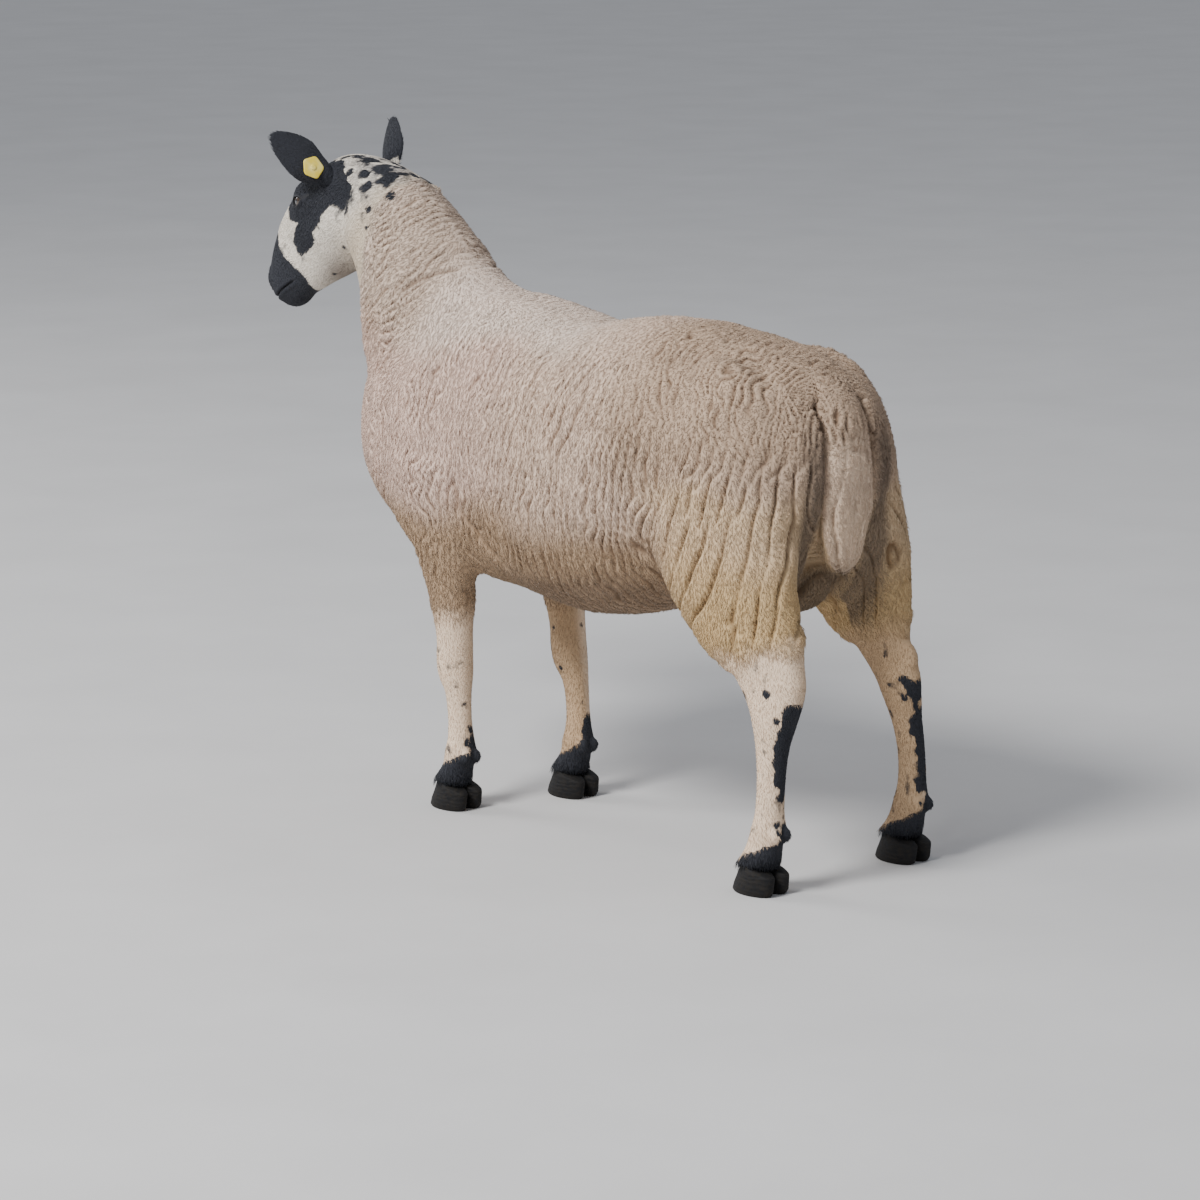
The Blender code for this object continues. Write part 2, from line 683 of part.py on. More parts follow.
def coronet_plane(kind, side):
    """A point and the downward normal of the sloped plane where the hooves meet the leg."""
    slope = math.atan2(CLAW_HEIGHT - CLAW_HEEL_HEIGHT, CLAW_LENGTH)
    point = toe_place(kind, side) + Vector((0, 0, (CLAW_HEIGHT + CLAW_HEEL_HEIGHT) / 2))
    return point, Vector((0, -math.sin(slope), -math.cos(slope)))


def claw(name, kind, side, sign, collection):
    """One claw of a hoof: flat below, sloped in front, curved outside and straight inside."""
    middle = toe_place(kind, side)
    rings = []
    for share, grow, lean in CLAW_RINGS:
        points = []
        for along, out in CLAW_OUTLINE:
            x = sign * (CLAW_CLEFT / 2 + out * CLAW_WIDTH * grow)
            y = (-along * CLAW_LENGTH * 0.5) * grow + lean
            points.append((x, y, share * CLAW_HEIGHT))
        rings.append(np.array(points))
    obj = loft(name, rings, collection)
    for vert in obj.data.vertices:
        turn = Matrix.Rotation(-sign * CLAW_TOE_SPLAY, 3, "Z")
        vert.co = turn @ vert.co + middle
    point, down = coronet_plane(kind, side)
    cutter = half_space("coronet_cut", point, -down, -GAP / 2, collection)
    combined(obj, [cutter], "DIFFERENCE")
    return obj


def tail_form(name, collection, wider=0.0, inner=0.0, outer=0.0):
    """The flat hanging tail, or a larger envelope of it."""
    rows = smooth_curve(TAIL_STATIONS, 14)
    rings = []
    for i, (y, z, width, thickness) in enumerate(rows):
        before, after = rows[max(i - 1, 0)], rows[min(i + 1, len(rows) - 1)]
        run = Vector((0, after[0] - before[0], after[1] - before[1])).normalized()
        back = Vector((1, 0, 0)).cross(run)
        if back.y < 0:
            back = -back
        rings.append(ring((0, y, z), (1, 0, 0), back, width + wider, thickness + outer,
                          thickness + inner, 2.3, 16))
    return loft(name, rings, collection)


def ear_frame(side):
    """The root of an ear, and unit vectors to its tip, across it, and out of its cup."""
    bearing, rise = EAR_AIM[side]
    tip = Vector((math.sin(bearing) * math.cos(rise), -math.cos(bearing) * math.cos(rise),
                  math.sin(rise)))
    cup = EAR_HOLLOW[side]
    cup = (cup - tip * cup.dot(tip)).normalized()
    across = tip.cross(cup)
    along, above, out = EAR_ROOT_PLACE[side]
    return head_point(along, above, side * out), tip, across, cup


def ear_surface(side, across_count, along_count):
    """Rows of points on the middle of the ear's wall: curled at the root, open and pointed at the tip."""
    root, tip, across, cup = ear_frame(side)
    rows = []
    for i in range(along_count):
        v = i / (along_count - 1)
        if v < EAR_WIDEST:
            half_width = EAR_HALF_WIDTH * (0.62 + 0.38 * math.sin(v / EAR_WIDEST * math.pi / 2))
        else:
            half_width = EAR_HALF_WIDTH * (1 - ((v - EAR_WIDEST) / (1.004 - EAR_WIDEST)) ** 1.8) ** 0.65
        if v < 0.5:
            curl = math.radians(250 - 330 * v)
        else:
            curl = math.radians(120 - 70 * v)
        radius = 2 * half_width / curl
        bend = EAR_BEND * v * v
        row = []
        for j in range(across_count):
            angle = (j / (across_count - 1) - 0.5) * curl
            side_way = radius * math.sin(angle)
            depth = radius * (1 - math.cos(angle))
            centre = root + tip * (EAR_LENGTH * v) + cup * bend
            row.append(centre + across * side_way + cup * depth)
        rows.append(row)
    return rows


def ear_form(name, side, collection, across_count=7, along_count=9):
    rows = ear_surface(side, across_count, along_count)
    bm = bmesh.new()
    grid = [[bm.verts.new(p) for p in row] for row in rows]
    for lower, upper in zip(grid[:-1], grid[1:]):
        for i in range(across_count - 1):
            bm.faces.new((lower[i], lower[i + 1], upper[i + 1], upper[i]))
    bmesh.ops.remove_doubles(bm, verts=bm.verts, dist=1e-5)
    bmesh.ops.recalc_face_normals(bm, faces=bm.faces)
    ear = object_from_bmesh(name, bm, collection)
    wall = ear.modifiers.new("wall", "SOLIDIFY")
    wall.thickness = EAR_WALL
    wall.offset = 0.0
    baked(ear)
    return ear


def tube(name, points, radii, sides, collection):
    """A closed round tube along points, made from a bevelled curve."""
    curve = bpy.data.curves.new(name, "CURVE")
    curve.dimensions = "3D"
    curve.bevel_depth = 1.0
    curve.bevel_resolution = max(0, sides // 4 - 1)
    curve.use_fill_caps = True
    spline = curve.splines.new("POLY")
    spline.points.add(len(points) - 1)
    for spot, place, radius in zip(spline.points, points, radii):
        spot.co = (*place, 1.0)
        spot.radius = radius
    guide = bpy.data.objects.new(name + "_guide", curve)
    collection.objects.link(guide)
    bpy.context.view_layer.update()
    mesh = bpy.data.meshes.new_from_object(guide)
    obj = bpy.data.objects.new(name, mesh)
    collection.objects.link(obj)
    bpy.data.objects.remove(guide)
    bm = bmesh.new()
    bm.from_mesh(mesh)
    bmesh.ops.remove_doubles(bm, verts=bm.verts, dist=1e-6)
    bmesh.ops.recalc_face_normals(bm, faces=bm.faces)
    bm.to_mesh(mesh)
    bm.free()
    return obj


def eye_axes(side):
    """The middle of an eye, the way it looks, and unit vectors along and across its opening."""
    along, above, left = head_axes()
    middle = head_point(EYE_PLACE[0], EYE_PLACE[1], side * EYE_PLACE[2])
    gaze = (along * 0.30 + above * 0.22 + left * side).normalized()
    length = (along * math.cos(EYE_TILT) - above * math.sin(EYE_TILT))
    length = (length - gaze * length.dot(gaze)).normalized()
    return middle, gaze, length, gaze.cross(length)


def oriented(obj, middle, x_axis, y_axis, z_axis):
    """Turns an object's own axes to these unit vectors and moves it to middle."""
    turn = Matrix((x_axis, y_axis, z_axis)).transposed()
    for vert in obj.data.vertices:
        vert.co = turn @ vert.co + middle
    if turn.determinant() < 0:
        obj.data.flip_normals()
    return obj


def eye_ball(name, side, radius, collection, segments=14, rings=8):
    middle, gaze, length, across = eye_axes(side)
    ball = ellipsoid(name, (0, 0, 0), (radius, radius, radius), collection, segments, rings)
    return oriented(ball, middle, length, across, gaze)


def lid_opening(side, collection):
    """An almond prism that cuts the opening between the lids."""
    middle, gaze, length, across = eye_axes(side)
    outline = []
    count = 14
    for i in range(count):
        angle = 2 * math.pi * i / count
        c, s = math.cos(angle), math.sin(angle)
        outline.append((LID_OPENING_LENGTH / 2 * c, LID_OPENING_HEIGHT / 2 * s * (abs(s) ** 0.35)))
    rings = [np.array([(x * g, y * g, z) for x, y in outline])
             for z, g in ((0.0, 0.9), (EYE_RADIUS, 1.0), (EYE_RADIUS * 2.2, 1.35))]
    prism = loft("lid_opening", rings, collection)
    return oriented(prism, middle, length, across, gaze)


def surface_point(tree, origin, direction):
    """Where a ray from inside the head leaves it."""
    return tree.ray_cast(origin, direction)[0]


def mouth_tool(head, collection):
    """A round groove that follows the lips from one corner of the mouth to the other."""
    tree = BVHTree.FromObject(head, bpy.context.evaluated_depsgraph_get())
    along, _, left = head_axes()
    points, radii = [], []
    count = 21
    for i in range(count):
        share = 2 * i / (count - 1) - 1
        swing = math.radians(102) * share
        ahead = MOUTH_CORNER[0] + 0.012
        level = MOUTH_CORNER[1] + (MOUTH_FRONT[1] - MOUTH_CORNER[1]) * math.cos(swing)
        level -= MOUTH_CURVE * math.sin(abs(share) * math.pi)
        origin = head_point(ahead, level, 0.0)
        direction = along * math.cos(swing) + left * math.sin(swing)
        place = surface_point(tree, origin, direction)
        if place is None:
            continue
        points.append(place)
        radii.append(MOUTH_GROOVE * (0.55 if abs(share) == 1 else 1.0))
    return tube("mouth_groove", points, radii, 8, collection)


def nostril_tools(head, side, collection):
    """The slit of a nostril, and the crease that curls back over it."""
    tree = BVHTree.FromObject(head, bpy.context.evaluated_depsgraph_get())
    tools = []
    for name, track, radius in NOSTRIL_TRACKS:
        points = []
        for a, u, out in track:
            origin = head_point(a - 0.035, u, side * out * 0.35)
            aim = head_point(a, u, side * out) - origin
            place = surface_point(tree, origin, aim.normalized())
            points.append(place if place is not None else head_point(a, u, side * out))
        shape = [0.55, 1.0, 0.9, 0.5][: len(points)]
        tools.append(tube(name, points, [radius * k for k in shape], 8, collection))
    return tools


def finished_head(work):
    """The head with lids, mouth, nostrils and the groove of the upper lip, cut flat at the neck."""
    forms = [head_form(work), neck_form(work, BARE_NECK_INSET, 2)]
    head = thinned(fused("head", forms, HEAD_VOXEL, 3, work), HEAD_TRIANGLES)
    lids = [eye_ball("lids", side, EYE_RADIUS + LID_THICKNESS, work, 22, 14) for side in (1, -1)]
    for tool in (mouth_tool(head, work), *nostril_tools(head, 1, work), *nostril_tools(head, -1, work),
                 lip_groove(head, work)):
        combined(head, [tool], "DIFFERENCE")
    for lid in lids:
        combined(head, [lid], "UNION")
    for side in (1, -1):
        combined(head, [lid_opening(side, work)], "DIFFERENCE")
        combined(head, [eye_ball("socket", side, EYE_RADIUS + GAP, work)], "DIFFERENCE")
    cutter = half_space("neck_side", HEAD_CUT_POINT, -HEAD_CUT_NORMAL, -GAP / 2, work)
    return combined(head, [cutter], "DIFFERENCE")


def lip_groove(head, collection):
    tree = BVHTree.FromObject(head, bpy.context.evaluated_depsgraph_get())
    along = head_axes()[0]
    points = []
    for level in LIP_GROOVE_LEVELS:
        points.append(surface_point(tree, head_point(MOUTH_CORNER[0], level, 0.0), along))
    return tube("lip_groove", points, [0.0008, 0.0014, 0.0014, 0.0010], 8, collection)


def lie_of_coat(place, normal, rng):
    """The way the ridges of the fleece run: down the sides, round the neck, fanned on the thighs."""
    _, y, z = place
    if y < NECK_FROM_Y and z > NECK_FROM_Z:
        lie = NECK_RUN.cross(normal)
        if lie.z > 0:
            lie = -lie
        lie = lie + LIE_DOWN * 0.35
    elif y > THIGH_FROM_Y and z < THIGH_BELOW_Z:
        lie = Vector((0, y - THIGH_HUB.y, z - THIGH_HUB.z)).normalized() + THIGH_DROOP
    else:
        lie = LIE_DOWN.copy()
    scatter = BACK_SCATTER if z > BACK_ABOVE_Z and y > BACK_FROM_Y else LIE_SCATTER
    lie += scatter * Vector((rng.uniform(-1, 1), rng.uniform(-1, 1), rng.uniform(-1, 1)))
    lie -= normal * lie.dot(normal)
    if lie.length < 0.05:
        backward = Vector((0, 1, 0))
        lie = backward - normal * normal.dot(backward)
    return lie.normalized()


def surface_samples(obj, count, rng):
    """Places spread over the object's surface, with the normal of the face each one is on."""
    mesh = obj.data
    mesh.calc_loop_triangles()
    triangles = list(mesh.loop_triangles)
    areas = np.array([t.area for t in triangles])
    totals = np.cumsum(areas)
    found = []
    for _ in range(count):
        index = int(np.searchsorted(totals, rng.random() * totals[-1]))
        triangle = triangles[min(index, len(triangles) - 1)]
        a, b, c = (mesh.vertices[i].co for i in triangle.vertices)
        u, v = rng.random(), rng.random()
        if u + v > 1:
            u, v = 1 - u, 1 - v
        place = a + (b - a) * u + (c - a) * v
        ends = [mesh.vertices[i].normal for i in triangle.vertices]
        normal = (ends[0] * (1 - u - v) + ends[1] * u + ends[2] * v).normalized()
        found.append((place, normal))
    return found


def clump_scale(place):
    """Clumps are smaller on the neck and the legs than on the body."""
    x, y, z = place
    if z < LEG_CLUMP_BELOW and abs(x) > LEG_CLUMP_BEYOND:
        return LEG_CLUMP_SCALE
    if y < NECK_FROM_Y and z > NECK_FROM_Z:
        return NECK_CLUMP_SCALE
    return 1.0


def clump_places(obj, rng):
    """Places for the clumps, spaced by their size along and across the lie."""
    kept = []
    places = np.empty((0, 3))
    for place, normal in surface_samples(obj, CLUMP_TRIES, rng):
        if not carries_clump(place, normal):
            continue
        lie = lie_of_coat(place, normal, rng)
        scale = clump_scale(place)
        if len(kept):
            away = places - np.array(place)
            along = away @ np.array(lie)
            square = (away ** 2).sum(axis=1) - along ** 2
            spaced = (along / (CLUMP_LENGTH * scale)) ** 2 + square / (CLUMP_WIDTH * scale) ** 2
            if spaced.min() < CLUMP_SPACING ** 2:
                continue
        kept.append((place, normal, lie, scale))
        places = np.vstack([places, np.array(place)])
    return kept


def carries_clump(place, normal):
    """Whether a clump grows here."""
    if (place - HEAD_CUT_POINT).dot(HEAD_CUT_NORMAL) > -CLUMPS_START_BEHIND_HEAD:
        return False
    if place.z < CLUMPS_END_ABOVE:
        return False
    return normal.z > BELLY_NORMAL_Z or abs(place.x) > BELLY_HALF_WIDTH


def clump(name, place, normal, lie, scale, rng, skin, collection):
    """A rounded clump of fleece with its root in the core, bending over it and tapering along the lie."""
    across = normal.cross(lie)
    length = CLUMP_LENGTH * scale * rng.uniform(1 - CLUMP_VARIETY, 1 + CLUMP_VARIETY)
    width = CLUMP_WIDTH * scale * rng.uniform(1 - CLUMP_VARIETY, 1 + CLUMP_VARIETY)
    relief = CLUMP_RELIEF * rng.uniform(1 - 2 * CLUMP_VARIETY, 1) * (1 + scale) / 2
    wave = rng.uniform(-CLUMP_WAVE, CLUMP_WAVE)

    def spot(along, out, height):
        aside = wave * (1 - 4 * along * along) + out
        return over_skin(skin, place + lie * along * length + across * aside * width, height)

    bm = bmesh.new()
    root = [bm.verts.new(spot(along, out, -CLUMP_ROOT)) for along, out in CLUMP_OUTLINE]
    top = [bm.verts.new(spot(along * CLUMP_TOP_SHARE + CLUMP_TOP_BEND, out * CLUMP_TOP_SHARE,
                             relief * CLUMP_TOP_LEVEL)) for along, out in CLUMP_OUTLINE]
    crest = bm.verts.new(spot(CLUMP_TOP_BEND, 0.0, relief))
    bm.faces.new(root[::-1])
    for i in range(len(root)):
        j = (i + 1) % len(root)
        bm.faces.new((root[i], root[j], top[j], top[i]))
        bm.faces.new((top[i], top[j], crest))
    bmesh.ops.recalc_face_normals(bm, faces=bm.faces)
    return object_from_bmesh(name, bm, collection)


def over_skin(skin, place, height):
    """The point at this height over the part of the skin nearest to place."""
    nearest, normal, _, _ = skin.find_nearest(place)
    return nearest + normal * height


def leg_region(kind, side, offset, collection):
    """The space of one leg: outside an inner plane, between two cross planes, below a sloped plane."""
    region = FORE_LEG_REGION if kind == "fore" else HIND_LEG_REGION
    front, back = region["y"]
    dx, dy = foot_shift(kind, side, 0.36)
    inner = region["inner_x"] - offset
    corner_x, corner_z = region["corner"]
    reach = 0.45
    top_inner = corner_z + offset * 1.12 + region["slope"] * (inner - corner_x)
    top_outer = corner_z + offset * 1.12 + region["slope"] * (reach - corner_x)
    bm = bmesh.new()
    rows = []
    for y in (front - offset + dy, back + offset + dy):
        outline = ((inner, -0.5), (reach, -0.5), (reach, top_outer), (inner, top_inner))
        rows.append([bm.verts.new((side * x, y, z)) for x, z in outline])
    bm.faces.new(rows[0])
    bm.faces.new(rows[1][::-1])
    for i in range(4):
        j = (i + 1) % 4
        bm.faces.new((rows[0][i], rows[1][i], rows[1][j], rows[0][j]))
    bmesh.ops.recalc_face_normals(bm, faces=bm.faces)
    return object_from_bmesh("leg_region", bm, collection)


def ear_tag(ear, collection):
    """A plate outside the ear, a round button inside it and the pin that joins them."""
    root, tip, across, cup = ear_frame(1)
    middle = root + tip * (EAR_LENGTH * TAG_ALONG) + cup * (EAR_BEND * TAG_ALONG ** 2) + across * TAG_ACROSS
    tree = BVHTree.FromObject(ear, bpy.context.evaluated_depsgraph_get())
    outside = plate_depth(tree, middle, -cup, tip, across, TAG_RADIUS)
    inside = plate_depth(tree, middle, cup, tip, across, TAG_BUTTON_RADIUS)
    plate = rounded_plate("plate", TAG_SIDES, TAG_RADIUS, TAG_CORNER, TAG_THICKNESS, collection)
    corner_way = tip * math.cos(TAG_TURN) + across * math.sin(TAG_TURN)
    oriented(plate, middle - cup * (outside + TAG_THICKNESS / 2), corner_way, cup.cross(corner_way), cup)
    button = disc("button", 14, TAG_BUTTON_RADIUS, TAG_THICKNESS, collection)
    bevel_rim(button, 0.0004)
    oriented(button, middle + cup * (inside + TAG_THICKNESS / 2), tip, across, cup)
    pin = disc("pin", 10, TAG_PIN_RADIUS, outside + inside + TAG_THICKNESS, collection)
    oriented(pin, middle + cup * (inside - outside) / 2, tip, across, cup)
    tag = combined(plate, [button, pin], "UNION")
    tag.name = "ear_tag"
    hole = disc("pin_hole", 10, TAG_PIN_RADIUS + GAP, 0.05, collection)
    oriented(hole, middle, tip, across, cup)
    combined(ear, [hole], "DIFFERENCE")
    return tag


def plate_depth(tree, middle, way, tip, across, radius):
    """How far along way a flat plate must sit to clear the ear."""
    deepest = 0.0
    for ring_share in (0.0, 0.35, 0.7, 1.0):
        for i in range(16):
            angle = 2 * math.pi * i / 16
            spot = middle + (tip * math.cos(angle) + across * math.sin(angle)) * radius * ring_share
            hit = tree.ray_cast(spot + way * 0.05, -way)
            if hit[0] is not None:
                deepest = max(deepest, (hit[0] - middle).dot(way))
    return deepest + GAP


def rounded_plate(name, sides, radius, corner, thickness, collection):
    """A flat plate with equal sides and rounded corners, one of them pointing along -x."""
    outline = []
    for i in range(sides):
        middle_angle = math.pi + 2 * math.pi * i / sides
        centre = (radius - corner) * Vector((math.cos(middle_angle), math.sin(middle_angle)))
        for step in (-1, 0, 1):
            angle = middle_angle + step * math.pi / sides
            outline.append(centre + corner * Vector((math.cos(angle), math.sin(angle))))
    rings = [np.array([(p.x * g, p.y * g, z) for p in outline])
             for z, g in ((-thickness / 2, 1.0), (thickness / 2, 1.0))]
    return loft(name, rings, collection)


def disc(name, sides, radius, thickness, collection):
    bm = bmesh.new()
    bmesh.ops.create_cone(bm, cap_ends=True, segments=sides, radius1=radius, radius2=radius, depth=thickness)
    return object_from_bmesh(name, bm, collection)


def bevel_rim(obj, width):
    rim = obj.modifiers.new("rim", "BEVEL")
    rim.width = width
    rim.segments = 1
    rim.limit_method = "ANGLE"
    return baked(obj)


def split_coat(whole, nodes, work):
    """The woolly body with its legs, parted by thin flat cuts into named pieces."""
    cuts = {
        "head_side": (HEAD_CUT_POINT, HEAD_CUT_NORMAL),
        "neck_side": (NECK_CUT_POINT, NECK_CUT_NORMAL),
        "torso_side": (Vector((0, RUMP_CUT_Y, 0.5)), Vector((0, -1, 0))),
    }

    def piece(name, removed):
        obj = copy_of(whole, name, nodes)
        for tool in removed:
            combined(obj, [tool], "DIFFERENCE")
        return largest_body(obj)

    def beyond(cut, sign):
        point, normal = cuts[cut]
        return half_space(cut, point, normal * sign, -GAP / 2, work)

    parts = {
        "neck": piece("neck", [beyond("head_side", 1), beyond("neck_side", -1)]),
        "torso": piece("torso", [beyond("neck_side", 1), beyond("torso_side", -1),
                                 leg_region("fore", 1, GAP / 2, work),
                                 leg_region("fore", -1, GAP / 2, work)]),
        "rump": piece("rump", [beyond("torso_side", 1), leg_region("hind", 1, GAP / 2, work),
                               leg_region("hind", -1, GAP / 2, work),
                               tail_form("tail_pocket", work, TAIL_POCKET, GAP, TAIL_POCKET_REACH)]),
    }
    for kind in ("fore", "hind"):
        for side, word in ((1, "left"), (-1, "right")):
            name = f"{kind}leg_{word}"
            leg = copy_of(whole, name, nodes)
            combined(leg, [leg_region(kind, side, -GAP / 2, work)], "INTERSECT")
            point, down = coronet_plane(kind, side)
            combined(leg, [half_space("sole_side", point, down, -GAP / 2, work)], "DIFFERENCE")
            parts[name] = largest_body(leg)
    return parts


def finished_tail(nodes, work, rng):
    """The tail with clumps down its outside, held clear of its hollow in the rump."""
    tail = tail_form("tail", nodes)
    skin = BVHTree.FromObject(tail, bpy.context.evaluated_depsgraph_get())
    roots, wool = [], []
    for place, normal in surface_samples(tail, TAIL_CLUMP_TRIES, rng):
        lie = LIE_DOWN - normal * LIE_DOWN.dot(normal)
        if lie.length < 0.3 or normal.y < 0.25:
            continue
        if any((place - other).length < TAIL_CLUMP_APART for other in roots):
            continue
        roots.append(place)
        wool.append(clump(f"tail_clump_{len(wool)}", place, normal, lie.normalized(), TAIL_CLUMP_SCALE,
                          rng, skin, work))
    combined(tail, wool, "UNION")
    room = tail_form("tail_room", work, TAIL_POCKET - GAP, 0.0, TAIL_POCKET_REACH)
    combined(tail, [room], "INTERSECT")
    return largest_body(tail)


def shade(obj, material, angle=SHARP_EDGE):
    obj.data.materials.clear()
    obj.data.materials.append(material)
    obj.data.shade_smooth()
    obj.data.set_sharp_from_angle(angle=angle)


def main():
    clear_scene()
    rng = random.Random(CLUMP_SEED)
    nodes = new_collection("mule_sheep")
    work = new_collection("cutters")
    work.hide_render = True

    wool = fused("wool", wool_forms(work), WOOL_VOXEL, 8, work)
    places = clump_places(wool, rng)
    skin = BVHTree.FromObject(wool, bpy.context.evaluated_depsgraph_get())
    core = thinned(wool, CORE_TRIANGLES)
    locks = [clump(f"clump_{i}", *spot, rng, skin, work) for i, spot in enumerate(places)]
    whole = combined(core, locks, "UNION")
    whole = largest_body(whole)
    legs = [bare_leg(kind, side, work) for kind in ("fore", "hind") for side in (1, -1)]
    whole = combined(whole, legs, "UNION")

    parts = split_coat(whole, nodes, work)
    parts["tail"] = finished_tail(nodes, work, rng)
    bpy.data.objects.remove(whole)

    head = finished_head(work)
    head.name = "head"
    for home in list(head.users_collection):
        home.objects.unlink(head)
    nodes.objects.link(head)
    parts["head"] = head
    for side, word in ((1, "left"), (-1, "right")):
        ear = ear_form(f"ear_{word}", side, nodes)
        if side == 1:
            tag = ear_tag(ear, work)
            work.objects.unlink(tag)
            nodes.objects.link(tag)
            parts["ear_tag"] = tag
        combined(ear, [grown(head, GAP, "head_side", work)], "DIFFERENCE")
        parts[f"ear_{word}"] = largest_body(ear)
        parts[f"eye_{word}"] = eye_ball(f"eye_{word}", side, EYE_RADIUS, nodes)
    for kind in ("fore", "hind"):
        for side, word in ((1, "left"), (-1, "right")):
            for sign in (1, -1):
                where = "outer" if sign == side else "inner"
                name = f"hoof_{kind}_{word}_{where}"
                parts[name] = claw(name, kind, side, sign, nodes)

    materials = {
        "fleece": ("neck", "torso", "rump", "tail"),
        "face": ("head",),
        "black_hair": ("ear_left", "ear_right"),
        "leg_hair": ("foreleg_left", "foreleg_right", "hindleg_left", "hindleg_right"),
        "eye": ("eye_left", "eye_right"),
        "tag": ("ear_tag",),
    }
    kinds = {name: kind for kind, names in materials.items() for name in names}
    for name, obj in parts.items():
        obj.data.transform(Matrix.Translation((-MIDDLE[0], -MIDDLE[1], 0.0)))
        kind = kinds.get(name, "hoof")
        shade(obj, plain_material(name + "_surface", COLOURS[kind], ROUGHNESS[kind]))


main()
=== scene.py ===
"""The looks of a life-size standing mule sheep: its skin, fleece, short hair, eyes, claws and ear tag.

The sheep faces -Y with its left side at +X. Forms are laid out as in the CAD source and then moved so that
the middle of the sheep stands over the origin. Lengths are metres.
"""

import math

import bmesh
import bpy
import numpy as np
from mathutils import Matrix, Vector
from mathutils.bvhtree import BVHTree
from mathutils.kdtree import KDTree


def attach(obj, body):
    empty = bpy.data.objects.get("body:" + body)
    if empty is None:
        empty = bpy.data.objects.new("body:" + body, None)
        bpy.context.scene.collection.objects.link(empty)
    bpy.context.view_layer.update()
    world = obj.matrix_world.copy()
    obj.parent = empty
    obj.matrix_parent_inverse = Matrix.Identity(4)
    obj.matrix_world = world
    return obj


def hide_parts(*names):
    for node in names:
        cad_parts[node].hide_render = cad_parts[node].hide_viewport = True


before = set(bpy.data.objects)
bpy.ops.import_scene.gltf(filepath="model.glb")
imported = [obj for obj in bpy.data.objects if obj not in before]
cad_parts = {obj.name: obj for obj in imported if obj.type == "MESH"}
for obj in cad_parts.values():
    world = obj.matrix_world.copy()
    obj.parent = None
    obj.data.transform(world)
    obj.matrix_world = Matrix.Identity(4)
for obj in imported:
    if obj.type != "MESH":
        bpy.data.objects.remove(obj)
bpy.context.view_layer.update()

# From the place where the forms are laid out to the frame of the CAD model.
SHIFT = np.array((0.001, 0.2223, 0.0))

# Torso, out to the tips of the coat: y, top z, bottom z, half width, z of the widest point.
TORSO_STATIONS = (
    (0.338, 0.598, 0.520, 0.045, 0.560),
    (0.320, 0.645, 0.470, 0.098, 0.560),
    (0.285, 0.680, 0.432, 0.132, 0.556),
    (0.230, 0.704, 0.402, 0.150, 0.552),
    (0.150, 0.719, 0.378, 0.166, 0.548),
    (0.080, 0.727, 0.348, 0.178, 0.540),
    (0.010, 0.729, 0.318, 0.187, 0.520),
    (-0.070, 0.721, 0.302, 0.189, 0.510),
    (-0.130, 0.708, 0.303, 0.183, 0.508),
    (-0.220, 0.727, 0.312, 0.168, 0.505),
    (-0.300, 0.738, 0.318, 0.157, 0.505),
    (-0.380, 0.730, 0.332, 0.150, 0.510),
    (-0.450, 0.706, 0.360, 0.140, 0.515),
    (-0.505, 0.670, 0.400, 0.118, 0.520),
    (-0.542, 0.620, 0.445, 0.082, 0.525),
    (-0.558, 0.570, 0.490, 0.040, 0.525),
)
TORSO_SQUARENESS = 2.3
# Neck, out to the tips of the coat: crest y and z, throat y and z, half width.
NECK_STATIONS = (
    (-0.270, 0.726, -0.508, 0.470, 0.130),
    (-0.350, 0.750, -0.552, 0.530, 0.120),
    (-0.405, 0.790, -0.565, 0.590, 0.107),
    (-0.450, 0.829, -0.577, 0.640, 0.094),
    (-0.492, 0.863, -0.588, 0.680, 0.083),
    (-0.535, 0.888, -0.600, 0.712, 0.075),
    (-0.585, 0.897, -0.620, 0.745, 0.066),
)
NECK_SQUARENESS = 2.0
BARE_NECK_STARTS = 2
# The skin lies this far inside the tips of the fleece, and the short-haired neck inside its own line.
COAT_INSET = 0.0115
LEG_INSET = 0.0068
BARE_NECK_INSET = 0.0085
# The skin lies this far inside the CAD head and legs, under the short hair.
HAIR_INSET = 0.0008

# Muscle masses: centre (for the left side) and radii.
SHOULDER_MASS = ((0.102, -0.348, 0.504), (0.051, 0.105, 0.145))
THIGH_MASS = ((0.090, 0.190, 0.535), (0.068, 0.122, 0.155))
BUTTOCK_MASS = ((0.074, 0.236, 0.505), (0.054, 0.078, 0.145))
GROIN_MASS = ((0.0, 0.195, 0.395), (0.062, 0.085, 0.045))

# Legs: z, x, y, half length fore and aft, half width.
FORE_WOOL_STATIONS = (
    (0.500, 0.116, -0.345, 0.088, 0.052),
    (0.430, 0.112, -0.338, 0.070, 0.047),
    (0.370, 0.104, -0.334, 0.054, 0.041),
    (0.315, 0.098, -0.333, 0.040, 0.034),
    (0.282, 0.094, -0.333, 0.033, 0.030),
)
FORE_LEG_STATIONS = (
    (0.340, 0.099, -0.333, 0.034, 0.029),
    (0.285, 0.094, -0.333, 0.0300, 0.0270),
    (0.245, 0.091, -0.333, 0.0265, 0.0250),
    (0.215, 0.089, -0.335, 0.0262, 0.0258),
    (0.192, 0.088, -0.334, 0.0245, 0.0245),
    (0.168, 0.088, -0.329, 0.0195, 0.0188),
    (0.130, 0.087, -0.327, 0.0178, 0.0165),
    (0.102, 0.086, -0.326, 0.0195, 0.0185),
    (0.083, 0.086, -0.327, 0.0228, 0.0222),
    (0.064, 0.086, -0.331, 0.0228, 0.0218),
    (0.050, 0.086, -0.338, 0.0252, 0.0238),
    (0.036, 0.086, -0.344, 0.0279, 0.0256),
)
